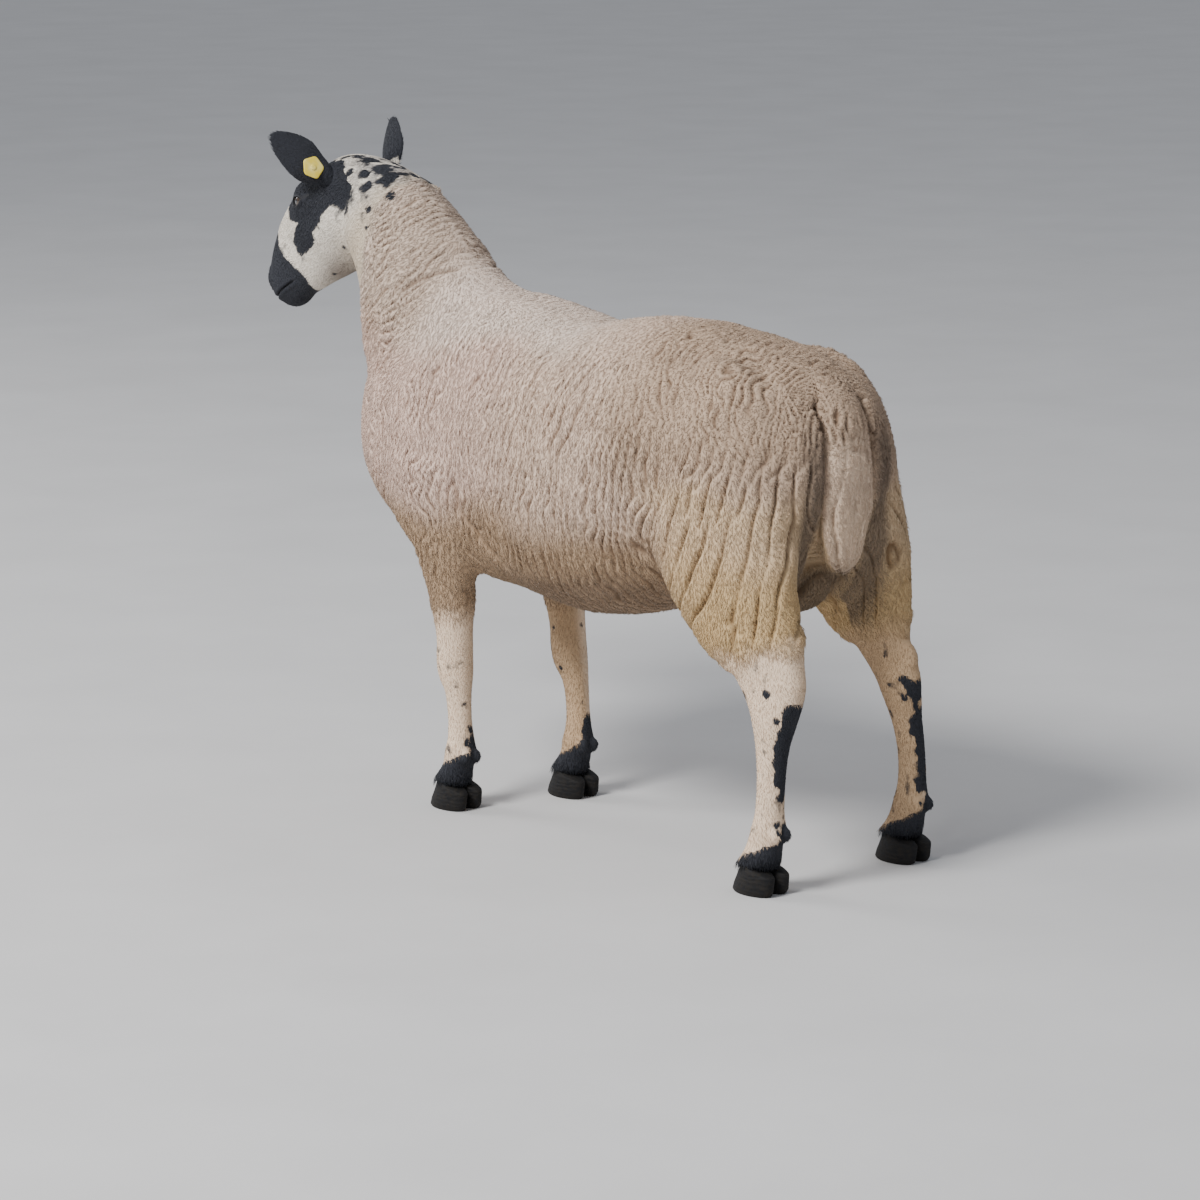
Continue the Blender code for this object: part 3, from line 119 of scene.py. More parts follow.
HIND_WOOL_STATIONS = (
    (0.600, 0.086, 0.185, 0.112, 0.062),
    (0.520, 0.096, 0.190, 0.126, 0.066),
    (0.450, 0.106, 0.206, 0.122, 0.061),
    (0.400, 0.114, 0.224, 0.106, 0.053),
    (0.350, 0.119, 0.248, 0.084, 0.044),
    (0.312, 0.121, 0.270, 0.066, 0.036),
    (0.290, 0.122, 0.288, 0.054, 0.031),
)
HIND_LEG_STATIONS = (
    (0.345, 0.120, 0.262, 0.066, 0.036),
    (0.308, 0.121, 0.284, 0.0540, 0.0305),
    (0.280, 0.121, 0.304, 0.0480, 0.0265),
    (0.255, 0.121, 0.314, 0.0400, 0.0255),
    (0.228, 0.120, 0.315, 0.0315, 0.0245),
    (0.195, 0.120, 0.313, 0.0240, 0.0200),
    (0.150, 0.120, 0.311, 0.0205, 0.0175),
    (0.110, 0.120, 0.309, 0.0205, 0.0188),
    (0.088, 0.120, 0.307, 0.0240, 0.0225),
    (0.066, 0.120, 0.301, 0.0258, 0.0220),
    (0.050, 0.120, 0.295, 0.0285, 0.0242),
    (0.036, 0.120, 0.287, 0.0305, 0.0260),
)
LEG_STATIONS = {"fore": FORE_LEG_STATIONS, "hind": HIND_LEG_STATIONS}
LEG_SQUARENESS = 2.1
# How far each foot stands from the place in the tables: x outward and y.
FOOT_SHIFT = {
    ("fore", 1): (0.000, -0.002),
    ("fore", -1): (-0.002, 0.060),
    ("hind", 1): (0.000, 0.000),
    ("hind", -1): (0.024, 0.012),
}
FOOT_SHIFT_TOP = 0.46
# How each hind leg stands off its tables about the hock: x outward, y, growth, height and reach.
HOCK_SHIFT = {
    ("hind", 1): (-0.008, 0.006, 0.010, 0.325, 0.060),
    ("hind", -1): (-0.010, -0.014, -0.003, 0.275, 0.085),
}
NO_SHIFT = (0.0, 0.0, 0.0, 0.0, 1.0)
LEGS = (("fore", 1), ("fore", -1), ("hind", 1), ("hind", -1))
SIDE_WORD = {1: "left", -1: "right"}
DEWCLAW_RADII = (0.0062, 0.0078, 0.0105)
DEWCLAW_APART = 0.0105
DEWCLAW_BACK = 0.92
DEWCLAW_DROP = 0.006
HOCK_POINT = (0.120, 0.332, 0.281)
HOCK_RADII = (0.0150, 0.0200, 0.0260)

# Claws: size, and the outline of one seen from above.
CLAW_LENGTH = 0.070
CLAW_WIDTH = 0.0265
CLAW_HEIGHT = 0.043
CLAW_HEEL_HEIGHT = 0.027
CLAW_TOE_SPLAY = math.radians(4)
CLAW_CLEFT = 0.0030
CLAW_RINGS = ((0.0, 1.0, 0.0), (0.10, 1.06, 0.002), (0.55, 0.97, 0.008), (1.3, 0.84, 0.016))
# How high up a claw each ring lies and how far its edge is drawn in there.
CLAW_EDGES = (
    (0.0, 0.97), (0.05, 1.0), (0.25, 1.0), (0.45, 1.0), (0.65, 1.0), (0.85, 1.0), (0.95, 0.99), (1.0, 0.95),
)
CLAW_BELOW_CORONET = 0.0015
CLAW_IN_HAIR = 0.002
# Growth rings of the horn in radians a metre, how they waver, and the top of the dust.
HORN_RINGS = 1100.0
HORN_WOBBLE = 0.010
HORN_DUST_TOP = 0.010
CLAW_OUTLINE = (
    (-1.00, 0.20), (-0.62, 0.00), (0.30, 0.00), (0.96, 0.10), (1.02, 0.28),
    (0.80, 0.62), (0.30, 0.94), (-0.25, 1.00), (-0.78, 0.80), (-1.02, 0.50),
)

# Tail: y, z of the middle, half width, half thickness.
TAIL_STATIONS = (
    (0.262, 0.662, 0.036, 0.024),
    (0.296, 0.646, 0.039, 0.025),
    (0.318, 0.612, 0.042, 0.024),
    (0.326, 0.565, 0.044, 0.023),
    (0.326, 0.515, 0.043, 0.022),
    (0.322, 0.470, 0.038, 0.021),
    (0.320, 0.438, 0.028, 0.017),
    (0.319, 0.420, 0.012, 0.009),
)
TAIL_SQUARENESS = 2.3
# The hollow of the rump that the tail hangs in: wider than the tail on each side, how deep a cut, and the
# row of the tail's sections that it starts at.
TAIL_GROOVE = 0.008
TAIL_POCKET_DEPTH = 0.05
TAIL_POCKET_STARTS = 4

# Head frame: the crown, the turn to the left and the slope of the face.
CROWN = np.array((0.0, -0.674, 0.8930))
HEAD_TURN = math.radians(5)
FACE_SLOPE = math.radians(50.5)
FACE_STRETCH_FROM = 0.05
FACE_STRETCH = 1.08
# Distances from the crown along the face and above it, for the top line and the jaw line, then half width,
# share of the depth above the widest point, and squareness.
HEAD_STATIONS = (
    ((-0.071, -0.122), (-0.055, -0.180), 0.046, 0.45, 2.0),
    ((-0.046, -0.056), (-0.025, -0.168), 0.053, 0.42, 2.1),
    ((-0.018, -0.015), (0.012, -0.160), 0.054, 0.38, 2.2),
    ((0.015, 0.002), (0.048, -0.150), 0.055, 0.33, 2.3),
    ((0.048, 0.009), (0.078, -0.138), 0.056, 0.30, 2.3),
    ((0.080, 0.017), (0.106, -0.125), 0.052, 0.32, 2.3),
    ((0.108, 0.022), (0.130, -0.113), 0.044, 0.38, 2.2),
    ((0.136, 0.022), (0.151, -0.102), 0.037, 0.42, 2.2),
    ((0.163, 0.015), (0.172, -0.092), 0.0335, 0.46, 2.2),
    ((0.187, 0.004), (0.190, -0.083), 0.0315, 0.48, 2.3),
    ((0.205, -0.008), (0.205, -0.079), 0.0300, 0.50, 2.3),
    ((0.217, -0.019), (0.218, -0.074), 0.0245, 0.50, 2.2),
)
NOSE_CAPS = ((0.82, 0.0045), (0.52, 0.0075))
# Soft swellings and hollows: place along, above, to the side, reach, height.
HEAD_RELIEF = (
    ("brow", (0.058, 0.003, 0.047), 0.022, 0.0090),
    ("orbit", (0.068, -0.018, 0.053), 0.024, 0.0040),
    ("cheekbone", (0.100, -0.042, 0.046), 0.026, 0.0030),
    ("cheek", (0.045, -0.088, 0.048), 0.040, 0.0060),
    ("temple", (0.022, -0.012, 0.050), 0.020, -0.0030),
    ("nose side", (0.140, -0.028, 0.035), 0.028, -0.0030),
    ("nostril wing", (0.208, -0.024, 0.022), 0.014, 0.0035),
    ("upper lip", (0.200, -0.046, 0.027), 0.018, 0.0030),
    ("chin", (0.206, -0.078, 0.000), 0.018, 0.0040),
)
EYE_RADIUS = 0.0150
EYE_PLACE = (0.0665, -0.0160, 0.0430)
EYE_TILT = math.radians(-26)
LID_THICKNESS = 0.0022
LID_LENGTH = 0.0245
LID_HEIGHT = 0.0130
LID_ROUNDNESS = 0.75
LID_RIM = 0.0012
LID_RIM_HEIGHT = 0.0008
UPPER_CREASE = (0.0050, 0.0018)
LOWER_CREASE = (0.0062, 0.0008)
LID_CREASE_WIDTH = 0.0011
LID_DARK_REACH = 0.0022
LID_LINE_WIDTH = 0.003
LID_LINE_FROM = 0.35
EYE_PIT = 0.003
GAZE_AHEAD = 0.30
GAZE_UP = 0.22
# The pupil is a level bar with round ends: half its length and half its height.
PUPIL_HALF_LENGTH = 0.0042
PUPIL_HALF_HEIGHT = 0.0019
PUPIL_CORNER = 0.0016
PUPIL_CORNER_LEVEL = 0.0004
PUPIL_EDGE = (-0.0002, 0.0003)
# The iris darkens to its rim and ends between these distances from its middle.
IRIS_DARKENS = (0.0066, 0.0086)
IRIS_ENDS = (0.0098, 0.0106)
MOUTH_CORNER = (0.172, -0.059)
MOUTH_FRONT = (0.226, -0.045)
MOUTH_CURVE = 0.0025
MOUTH_SWING = math.radians(102)
MOUTH_BEHIND = 0.012
MOUTH_ONLY_AHEAD = 0.150
SLIT_HALF_WIDTH = 0.0013
SLIT_DEPTH = 0.0034
LIP_FROM_SLIT = 0.0048
LIP_HALF_WIDTH = 0.0032
LIP_HEIGHT = 0.0011
# The nostril and the crease behind its wing: places along, above and to the side, then widths and depths.
NOSTRIL = (
    (0.221, -0.034, 0.0075), (0.219, -0.026, 0.0120), (0.213, -0.019, 0.0170), (0.206, -0.015, 0.0205),
)
NOSTRIL_WIDTH = 0.0036
NOSTRIL_DEPTH = 0.0075
NOSTRIL_RIM_AWAY = 0.0078
NOSTRIL_RIM_WIDTH = 0.0030
NOSTRIL_RIM_HEIGHT = 0.0014
WING_CREASE = ((0.214, -0.037, 0.0165), (0.208, -0.033, 0.0215), (0.201, -0.028, 0.0250))
WING_CREASE_WIDTH = 0.0016
WING_CREASE_DEPTH = 0.0012
# The cleft of the upper lip.
CLEFT_HALF_WIDTH = 0.0012
CLEFT_DEPTH = 0.0016
CLEFT_STARTS = (0.205, 0.215)
CLEFT_TOP = -0.020
# The muzzle and the surroundings of the eyes have a finer mesh.
MUZZLE_STARTS = 0.168
EYE_SURROUND_OUT = 0.008
EYE_SURROUND = 0.024

# Ears: length, widths and the direction each one points.
EAR_LENGTH = 0.112
EAR_HALF_WIDTH = 0.034
EAR_WALL = 0.0028
EAR_WIDEST = 0.38
EAR_ROOT_SHARE = 0.62
EAR_TIP_BOW = 1.8
EAR_TIP_POINT = 0.65
EAR_TIP_END = 1.004
# Degrees that the wall is curled round at the root, and how fast that falls: lower half, then upper half.
EAR_ROOT_CURL = (250, 330)
EAR_TIP_CURL = (120, 70)
EAR_ROOT_PLACE = {1: (0.000, -0.045, 0.0445), -1: (-0.014, -0.047, 0.0445)}
EAR_BEND = 0.012
# Distances up an ear and from its middle: where hair turns to lie along it, and where it is the ear's own.
EAR_MIDDLE = 0.06
EAR_LIE_FROM = (0.012, 0.030)
EAR_LIE_REACH = 0.075
EAR_HAIR_FROM = 0.016
EAR_HAIR_REACH = 0.072
EAR_AIM = {1: (math.radians(60), math.radians(38)), -1: (math.radians(-40), math.radians(36))}
EAR_HOLLOW = {1: Vector((-0.40, -0.80, -0.45)), -1: Vector((-0.80, 0.10, 0.00))}

# Ear tag: a rounded five-sided plate outside the left ear, a round back plate and a pin.
TAG_RADIUS = 0.0168
TAG_THICKNESS = 0.0016
TAG_ALONG = 0.35
TAG_ACROSS = 0.008
TAG_SIDES = 5
TAG_CORNER = 0.0060
TAG_TURN = math.radians(35)
TAG_BUTTON_RADIUS = 0.0125
TAG_BUTTON_SIDES = 12
TAG_BUTTON_CORNER = 0.0100
TAG_BOSS_RADIUS = 0.0042
TAG_BOSS_HEIGHT = 0.0022
TAG_BOSS_OUT = 0.0004
TAG_PIN_RADIUS = 0.0024
TAG_CLEARANCE = 0.0003
# Rounded edges: height as a share of the thickness, then how far in or how wide it is there.
PLATE_RIM = ((-0.5, 0.10), (-0.36, 0.03), (0.0, 0.0), (0.36, 0.03), (0.5, 0.10), (0.42, 0.22))
PLATE_RIM_DEPTH = 0.024
STUD_PROFILE = ((-0.5, 0.9), (-0.4, 1.0), (0.30, 1.0), (0.44, 0.9), (0.5, 0.6))
STUD_SIDES = 32

# The fleece starts behind this plane, and ends above these heights on the legs.
FLEECE_POINT = np.array((0.0, -0.530, 0.880))
FLEECE_NORMAL = np.array((0.0, -0.9806, 0.1961))
FLEECE_EDGE = 0.030
FLEECE_END = {"fore": (0.262, 0.302), "hind": (0.300, 0.345)}

# Ridges of the fleece: how far apart their grooves are, how much these sway and jitter in spacings, how
# sharp they are, and how high the ridges stand above them.
RIB_RIDGES = (0.0160, 0.75, 0.34, 0.46, 0.0052)
THIGH_RIDGES = (0.0330, 0.52, 0.24, 0.28, 0.0070)
NECK_RIDGES = (0.0125, 0.95, 0.40, 0.48, 0.0042)
RUMP_CURLS = (0.0130, 0.90, 0.75, 0.50, 0.0046)
SHOULDER_CURLS = (0.0145, 1.00, 0.60, 0.44, 0.0030)
# The ridges turn inward round the rear, and lean on the thigh, less so towards the rear.
REAR_HALF_WIDTH = 0.16
REAR_TURN = (0.27, 0.33)
THIGH_LEAN = 0.42
THIGH_LEAN_LOST = 0.32
THIGH_LEAN_RUN = (0.18, 0.34)
# Parts of the body: the y from nothing to fully in the part, and the z in the same way. First for the lie of
# the wool, then for the ridges and curls, then for where the fleece is smoother, then for its colours.
NECK_LIE = ((-0.36, -0.44), (0.54, 0.62))
THIGH_LIE = ((0.04, 0.12), (0.64, 0.56))
NECK_RIDGED = ((-0.34, -0.43), (0.56, 0.64))
THIGH_RIDGED = ((0.10, 0.17), (0.59, 0.53))
RUMP_CURLED = ((-0.02, 0.10), (0.56, 0.66))
BACK_CURLED = ((-0.25, -0.10), (0.66, 0.71))
BACK_EVEN = ((0.04, -0.06), (0.66, 0.72))
CHEST_EVEN = ((-0.42, -0.50), (0.66, 0.60))
SHOULDER_TINTED = ((-0.10, -0.32), (0.36, 0.50))
WITHERS_TINTED = ((0.02, -0.14), (0.64, 0.71))
RUMP_TINTED = ((0.00, 0.12), (0.48, 0.58))
THIGH_TINTED = ((0.06, 0.18), (0.56, 0.50))
NECK_TINTED = ((-0.36, -0.42), (0.62, 0.70))
# Folds of the left side, mirrored on the right: places along them, width and depth. They also get painted
# shade as creases.
NAPE_FOLD = (
    (0.098, -0.455, 0.715), (0.070, -0.420, 0.743), (0.030, -0.385, 0.757), (0.0, -0.370, 0.760),
)
ELBOW_FOLD = (
    (0.150, -0.272, 0.480), (0.148, -0.262, 0.440), (0.138, -0.225, 0.405), (0.118, -0.190, 0.375),
)
FLANK_FOLD = ((0.142, 0.085, 0.440), (0.140, 0.105, 0.410), (0.125, 0.120, 0.375))
FOLDS = ((NAPE_FOLD, 0.0034, 0.0040), (ELBOW_FOLD, 0.0065, 0.0070), (FLANK_FOLD, 0.0080, 0.0070))
SKIN_VOXEL = 0.0034
BODY_SMOOTHING = 8
SKIN_SMOOTHING = 5
# Sections along each form, and points round each section.
TORSO_GRID = (60, 64)
NECK_GRID = (30, 56)
FORE_WOOL_SECTIONS = 30
HIND_WOOL_SECTIONS = 34
BARE_LEG_SECTIONS = 60
LEG_SIDES = 40
HEAD_GRID = (60, 64)
TAIL_GRID = (26, 40)
EAR_GRID = (44, 26)
CLAW_SIDES = 48
SEED = 7
# Points this near keep what they had before the ears were joined. Creases get this much painted shade on the
# skin.
JOIN_REACH = 0.009
CREASE_SHADE = 0.85
# The head lies above this height, the fore legs ahead of this place, and the body is unwrapped round a line
# at this height.
HEAD_ABOVE = 0.60
FORE_HALF = -0.05
MIDDLE_OF_BODY = 0.50

# Locks of wool and short hairs: how many, and their length, width and lift off the skin.
WOOL_LOCKS = 150000
WOOL_LENGTH = 0.0086
WOOL_WIDTH = 0.0012
WOOL_LIFT = 0.0010
SHORT_HAIRS = 56000
HAIR_LENGTH = 0.0060
HAIR_WIDTH = 0.0009
HAIR_LIFT = 0.00035
LOCKS_IN_PIECE = 30000
# Where a lock and a hair are widest, as a share of their length, and the section there as shares of
# the width.
LOCK_WIDEST = 0.38
HAIR_WIDEST = 0.30
LOCK_UNDERSIDE = -0.15
LOCK_TOP = 0.36
# How far locks stray from the lie of the coat, in radians, on the ridges and then in the curls, and how far
# the tips of locks and hairs sweep to one side.
LOCK_STRAY = 0.32
CURL_STRAY = 0.90
LOCK_SWEEP = 0.0012
HAIR_SWEEP = 0.0006
# Hairs over the claws grow longer below the first of these heights, and fully so below the second.
OVER_CLAW = (0.060, 0.046)
# How deep a tuft is rooted, how much painted shade darkens its root, and the size of its patch in the unwrap.
ROOT_DEPTH = 0.0012
ROOT_SHADE = 0.22
PATCH = 0.003

# Colours of the coat, with painted light on the tail and painted shade under the belly, beside and below the
# tail and inside the legs.
CREAM = (0.645, 0.485, 0.372)
PINKISH = (0.67, 0.485, 0.400)
YELLOWISH = (0.60, 0.435, 0.260)
STRAW = (0.565, 0.385, 0.180)
TAWNY = (0.435, 0.310, 0.213)
LOW_SIDE_DARKER = (0.38, 0.255, 0.148)
SHADED_INNER_LEG_TAN = (0.45, 0.295, 0.160)
LIT_TAIL_CREAM = (0.74, 0.560, 0.415)
TAIL_GAP_SHADE = (0.165, 0.120, 0.085)
PALE = (0.74, 0.62, 0.52)
BELLY_SHADE_BROWN = (0.31, 0.215, 0.142)
FACE_WHITE = (0.72, 0.66, 0.57)
LEG_WHITE = (0.86, 0.66, 0.48)
THROAT = (0.58, 0.47, 0.34)
UNDER_JAW_DARK = (0.22, 0.17, 0.14)
CROWN_GREY = (0.26, 0.24, 0.235)
BLACK = (0.011, 0.011, 0.014)

# The black round the left eye as the photo shows it, in pixels from the photo's left and top edges: from the
# crown behind the cheek, under the eye, and up to the bridge of the nose.
PHOTO_SIZE = 1200
EYE_PATCH_IN_PHOTO = (
    (345, 160), (352, 188), (350, 199), (343, 212), (330, 205), (322, 215), (318, 226), (312, 232),
    (314, 240), (312, 248), (305, 254), (301, 257), (297, 252), (293, 242), (297, 223), (290, 219),
)
# The upper edge of the black muzzle in the photo, from the bridge of the nose to under the jaw.
MUZZLE_EDGE_IN_PHOTO = ((282, 253), (290, 262), (297, 270), (305, 278), (312, 287))
# The edge of the eye's patch that is out of sight, and the other black of the face, in millimetres: distance
# from the crown along the face, and distance round the head from its top line.
EYE_PATCH_FAR_EDGE = ((105, 20), (80, 15), (50, 12), (20, 15))
FAR_PATCH_SHIFT = (5, -3)
MUZZLE_TOP = (148, 0)
MUZZLE_UNDER = (176, 160)
BRIDGE_LINE = ((98, -4), (118, -9), (140, -10), (160, -8))
BRIDGE_HALF_WIDTH = 7.5
MOTTLED_CROWN = (0.004, -0.570, 0.885)
MOTTLED_REACH = 0.062
ROUND_HEAD_RADIUS = 50.0
ROUND_HEAD_LEVEL = 60.0
# The black of each leg: top of the black foot, where the stripe down the back narrows, its top, and how
# far round the leg each part of it starts. 1 is the back of the leg. The stripe is turned to the right.
LEG_BLACK = {
    ("fore", 1): (0.074, 0.095, 0.125, 0.80, 0.80),
    ("fore", -1): (0.072, 0.095, 0.135, 0.90, 0.85),
    ("hind", 1): (0.062, 0.150, 0.262, 0.62, 0.93),
    ("hind", -1): (0.060, 0.105, 0.255, 0.62, 0.80),
}
STRIPE_TURN = math.radians(15)
# The legs' black lies below this height, within so many half lengths of a leg's middle. The edge of the black
# foot rises towards the back. This edge, the stripe's sides and the stripe's top are ragged by so much.
LEG_BLACK_BELOW = 0.32
LEG_REACH = 2.2
FOOT_EDGE_RISE = 0.014
FOOT_EDGE_RAGGED = 0.003
STRIPE_SIDE_RAGGED = 0.30
STRIPE_TOP_RAGGED = 0.012
# The ears are black from this far up, for everything within reach of their middles.
EAR_BLACK_FROM = 0.012
EAR_REACH = EAR_LENGTH * 0.62
# How soft the black's edge is in the material, and how far single hairs stray over it.
BLACK_EDGE = 0.0006
BLACK_EDGE_STRAY = 0.0016
# How ragged the black's edges are: how far they stray, over what distance, and the seed of the noise.
RAGGED_EDGE = ((0.0022, 0.006, 11), (0.0012, 0.0028, 12))
# Spots on the crown, nape and legs as the photo shows them: pixel, and radius in metres.
SPOTS_IN_PHOTO = (
    ((348, 155), 0.006), ((367, 158), 0.007), ((388, 165), 0.009), ((365, 175), 0.007), ((365, 190), 0.005),
    ((368, 210), 0.006), ((389, 180), 0.007), ((391, 197), 0.006), ((414, 175), 0.010), ((366, 228), 0.004),
    ((350, 172), 0.006), ((357, 156), 0.010), ((372, 160), 0.010), ((383, 166), 0.012), ((390, 176), 0.012),
    ((408, 166), 0.013), ((426, 180), 0.011), ((364, 174), 0.009), ((367, 186), 0.009), ((391, 196), 0.008),
    ((767, 694), 0.006), ((776, 722), 0.005), ((561, 668), 0.004),
)
# Spots out of sight behind the crown, made up in the same manner: place and radius.
FAR_SPOTS = (
    ((-0.030, -0.590, 0.888), 0.008), ((-0.050, -0.560, 0.865), 0.007), ((-0.020, -0.640, 0.897), 0.006),
    ((-0.060, -0.575, 0.840), 0.006), ((-0.045, -0.530, 0.866), 0.006),
)

# Tints: painted shade at hair roots and in creases, the tips of black hair, wet dark skin, eyes, horn, tag
# and floor.
ROOT_SHADE_TINT = (0.26, 0.20, 0.15)
BLACK_TIPS = (0.035, 0.038, 0.048)
WET_SKIN = (0.010, 0.009, 0.010)
IRIS_DARK = (0.016, 0.008, 0.004)
IRIS_LIGHT = (0.050, 0.024, 0.009)
IRIS_RIM = (0.020, 0.012, 0.008)
EYE_WHITE = (0.035, 0.024, 0.020)
PUPIL = (0.003, 0.003, 0.004)
HORN = (0.007, 0.007, 0.008)
HORN_DUST = (0.020, 0.017, 0.014)
TAG_YELLOW = (0.78, 0.60, 0.06)
TAG_WORN = (0.80, 0.68, 0.22)
FLOOR_PALE = (0.62, 0.61, 0.60)
FLOOR_SHADE = (0.58, 0.57, 0.56)
# Most of a noise lies between these values.
NOISE_SPREAD = (0.3, 0.7)

# Studio: each light's name, place, size and power, then the sky and the camera of the photo.
LIGHTS = (
    ("main light", (5.3, 0.4, 5.4), 2.4, 655.0),
    ("front light", (2.0, -5.5, 3.0), 3.0, 160.0),
)
LIGHTS_AIM = (0, 0, 0.4)
FLOOR_SIZE = 40.0
SKY = (0.80, 0.84, 0.92)
SKY_STRENGTH = 0.55
CAMERA_AZIMUTH = 136.0
CAMERA_ELEVATION = 11.0
CAMERA_DISTANCE = 6.0
CAMERA_LENS = 137.88
CAMERA_SENSOR = 36.0
CAMERA_TARGET = (0.251, 0.3463, 0.385)

# The CAD nodes that the skin stands for.
SKIN_NODES = (
    "head", "ear_left", "ear_right", "neck", "torso", "rump", "tail",
    "foreleg_left", "foreleg_right", "hindleg_left", "hindleg_right",
)


def unit(vectors):
    """Each row scaled to length one."""
    return vectors / np.maximum(np.linalg.norm(vectors, axis=-1, keepdims=True), 1e-9)


def smoothstep(low, high, values):
    t = np.clip((values - low) / (high - low), 0, 1)
    return t * t * (3 - 2 * t)


def in_part(part, y, z):
    """How far points lie in a part of the body, from 0 to 1."""
    y_ends, z_ends = part
    return smoothstep(*y_ends, y) * smoothstep(*z_ends, z)


def smooth_curve(rows, count):
    """Rows of numbers blended along a smooth curve through them, as count rows."""
    rows = np.asarray(rows, float)
    steps = np.linalg.norm(np.diff(rows[:, :2], axis=0), axis=1)
    knots = np.concatenate([[0.0], np.cumsum(steps)])
    slopes = np.empty_like(rows)
    slopes[1:-1] = (rows[2:] - rows[:-2]) / (knots[2:] - knots[:-2])[:, None]
    slopes[0] = (rows[1] - rows[0]) / (knots[1] - knots[0])
    slopes[-1] = (rows[-1] - rows[-2]) / (knots[-1] - knots[-2])
    places = np.linspace(0, knots[-1], count)
    index = np.clip(np.searchsorted(knots, places, side="right") - 1, 0, len(rows) - 2)
    span = (knots[index + 1] - knots[index])[:, None]
    t = ((places - knots[index])[:, None]) / span
    a, b = rows[index], rows[index + 1]
    ta, tb = slopes[index] * span, slopes[index + 1] * span
    return (
        (2 * t**3 - 3 * t**2 + 1) * a
        + (t**3 - 2 * t**2 + t) * ta
        + (-2 * t**3 + 3 * t**2) * b
        + (t**3 - t**2) * tb
    )


def ring(centre, across, upward, half_width, above, below, squareness, sides):
    """A closed rounded section: half_width to each side, above and below the centre."""
    angles = np.arange(sides) * 2 * math.pi / sides
    c, s = np.cos(angles), np.sin(angles)
    x = half_width * np.sign(c) * np.abs(c) ** (2 / squareness)
    y = np.where(s > 0, above, below) * np.sign(s) * np.abs(s) ** (2 / squareness)
    return np.asarray(centre) + x[:, None] * np.asarray(across) + y[:, None] * np.asarray(upward)


def object_from_bmesh(name, bm):
    mesh = bpy.data.meshes.new(name)
    bm.to_mesh(mesh)
    bm.free()
    obj = bpy.data.objects.new(name, mesh)
    bpy.context.scene.collection.objects.link(obj)
    return obj


def loft(name, rings):
    """A closed skin through rings of equal count, with each end closed on its middle."""
    bm = bmesh.new()
    rows = [[bm.verts.new(Vector(p)) for p in r] for r in rings]
    sides = len(rows[0])
    for lower, upper in zip(rows[:-1], rows[1:]):
        for i in range(sides):
            j = (i + 1) % sides
            bm.faces.new((lower[i], lower[j], upper[j], upper[i]))
    for row, points in ((rows[0][::-1], rings[0]), (rows[-1], rings[-1])):
        middle = bm.verts.new(Vector(np.mean(points, axis=0)))
        for i in range(sides):
            bm.faces.new((row[i], row[(i + 1) % sides], middle))
    bmesh.ops.recalc_face_normals(bm, faces=bm.faces)
    return object_from_bmesh(name, bm)


def ellipsoid(name, centre, radii, segments=32, rings=18):
    bm = bmesh.new()
    bmesh.ops.create_uvsphere(bm, u_segments=segments, v_segments=rings, radius=1.0)
    place = Matrix.Translation(centre) @ Matrix.Diagonal((*radii, 1.0))
    bmesh.ops.transform(bm, matrix=place, verts=bm.verts)
    return object_from_bmesh(name, bm)


def baked(obj):
    """The object with its modifiers applied, in place."""
    bpy.context.view_layer.update()
    graph = bpy.context.evaluated_depsgraph_get()
    mesh = bpy.data.meshes.new_from_object(obj.evaluated_get(graph))
    obj.modifiers.clear()
    old = obj.data
    obj.data = mesh
    bpy.data.meshes.remove(old)
    return obj


def fused(name, objects, voxel, smoothing):
    """One smooth closed skin round several overlapping closed forms."""
    bm = bmesh.new()
    for obj in objects:
        bm.from_mesh(obj.data)
        bpy.data.objects.remove(obj)
    obj = object_from_bmesh(name, bm)
    remesh = obj.modifiers.new("fuse", "REMESH")
    remesh.mode = "VOXEL"
    remesh.voxel_size = voxel
    soften = obj.modifiers.new("soften", "SMOOTH")
    soften.factor = 0.5
    soften.iterations = smoothing
    return baked(obj)


def combined(obj, other, operation):
    modifier = obj.modifiers.new("combine", "BOOLEAN")
    modifier.operation = operation
    modifier.solver = "MANIFOLD"
    modifier.object = other
    baked(obj)
    bpy.data.objects.remove(other)
    return obj


def torso_form():
    rings = []
    sections, sides = TORSO_GRID
    for y, top, bottom, half_width, widest in smooth_curve(TORSO_STATIONS, sections):
        rings.append(ring((0, y, widest), (1, 0, 0), (0, 0, 1), half_width - COAT_INSET,
                          top - widest - COAT_INSET, widest - bottom - COAT_INSET, TORSO_SQUARENESS, sides))
    return loft("torso_form", rings)


def neck_form(inset, first=0):
    rings = []
    sections, sides = NECK_GRID
    for crest_y, crest_z, throat_y, throat_z, half_width in smooth_curve(NECK_STATIONS[first:], sections):
        crest, throat = np.array((0, crest_y, crest_z)), np.array((0, throat_y, throat_z))
        depth = np.linalg.norm(crest - throat)
        half_depth = depth / 2 - inset
        rings.append(ring((crest + throat) / 2, (1, 0, 0), (crest - throat) / depth, half_width - inset,
                          half_depth, half_depth, NECK_SQUARENESS, sides))
    return loft("neck_form", rings)


def foot_shift(kind, side, z):
    """How far a leg leans from its table at this height."""
    outward, back = FOOT_SHIFT[kind, side]
    share = smoothstep(0.0, 1.0, (FOOT_SHIFT_TOP - z) / (FOOT_SHIFT_TOP - 0.10))
    hock_outward, hock_back, _, height, reach = HOCK_SHIFT.get((kind, side), NO_SHIFT)
    near = np.exp(-(((z - height) / reach) ** 2))
    return side * (outward * share + hock_outward * near), back * share + hock_back * near


def hock_growth(kind, side, z):
    """How much thicker a hind leg is than its tables at this height."""
    _, _, growth, height, reach = HOCK_SHIFT.get((kind, side), NO_SHIFT)
    return growth * np.exp(-(((z - height) / reach) ** 2))


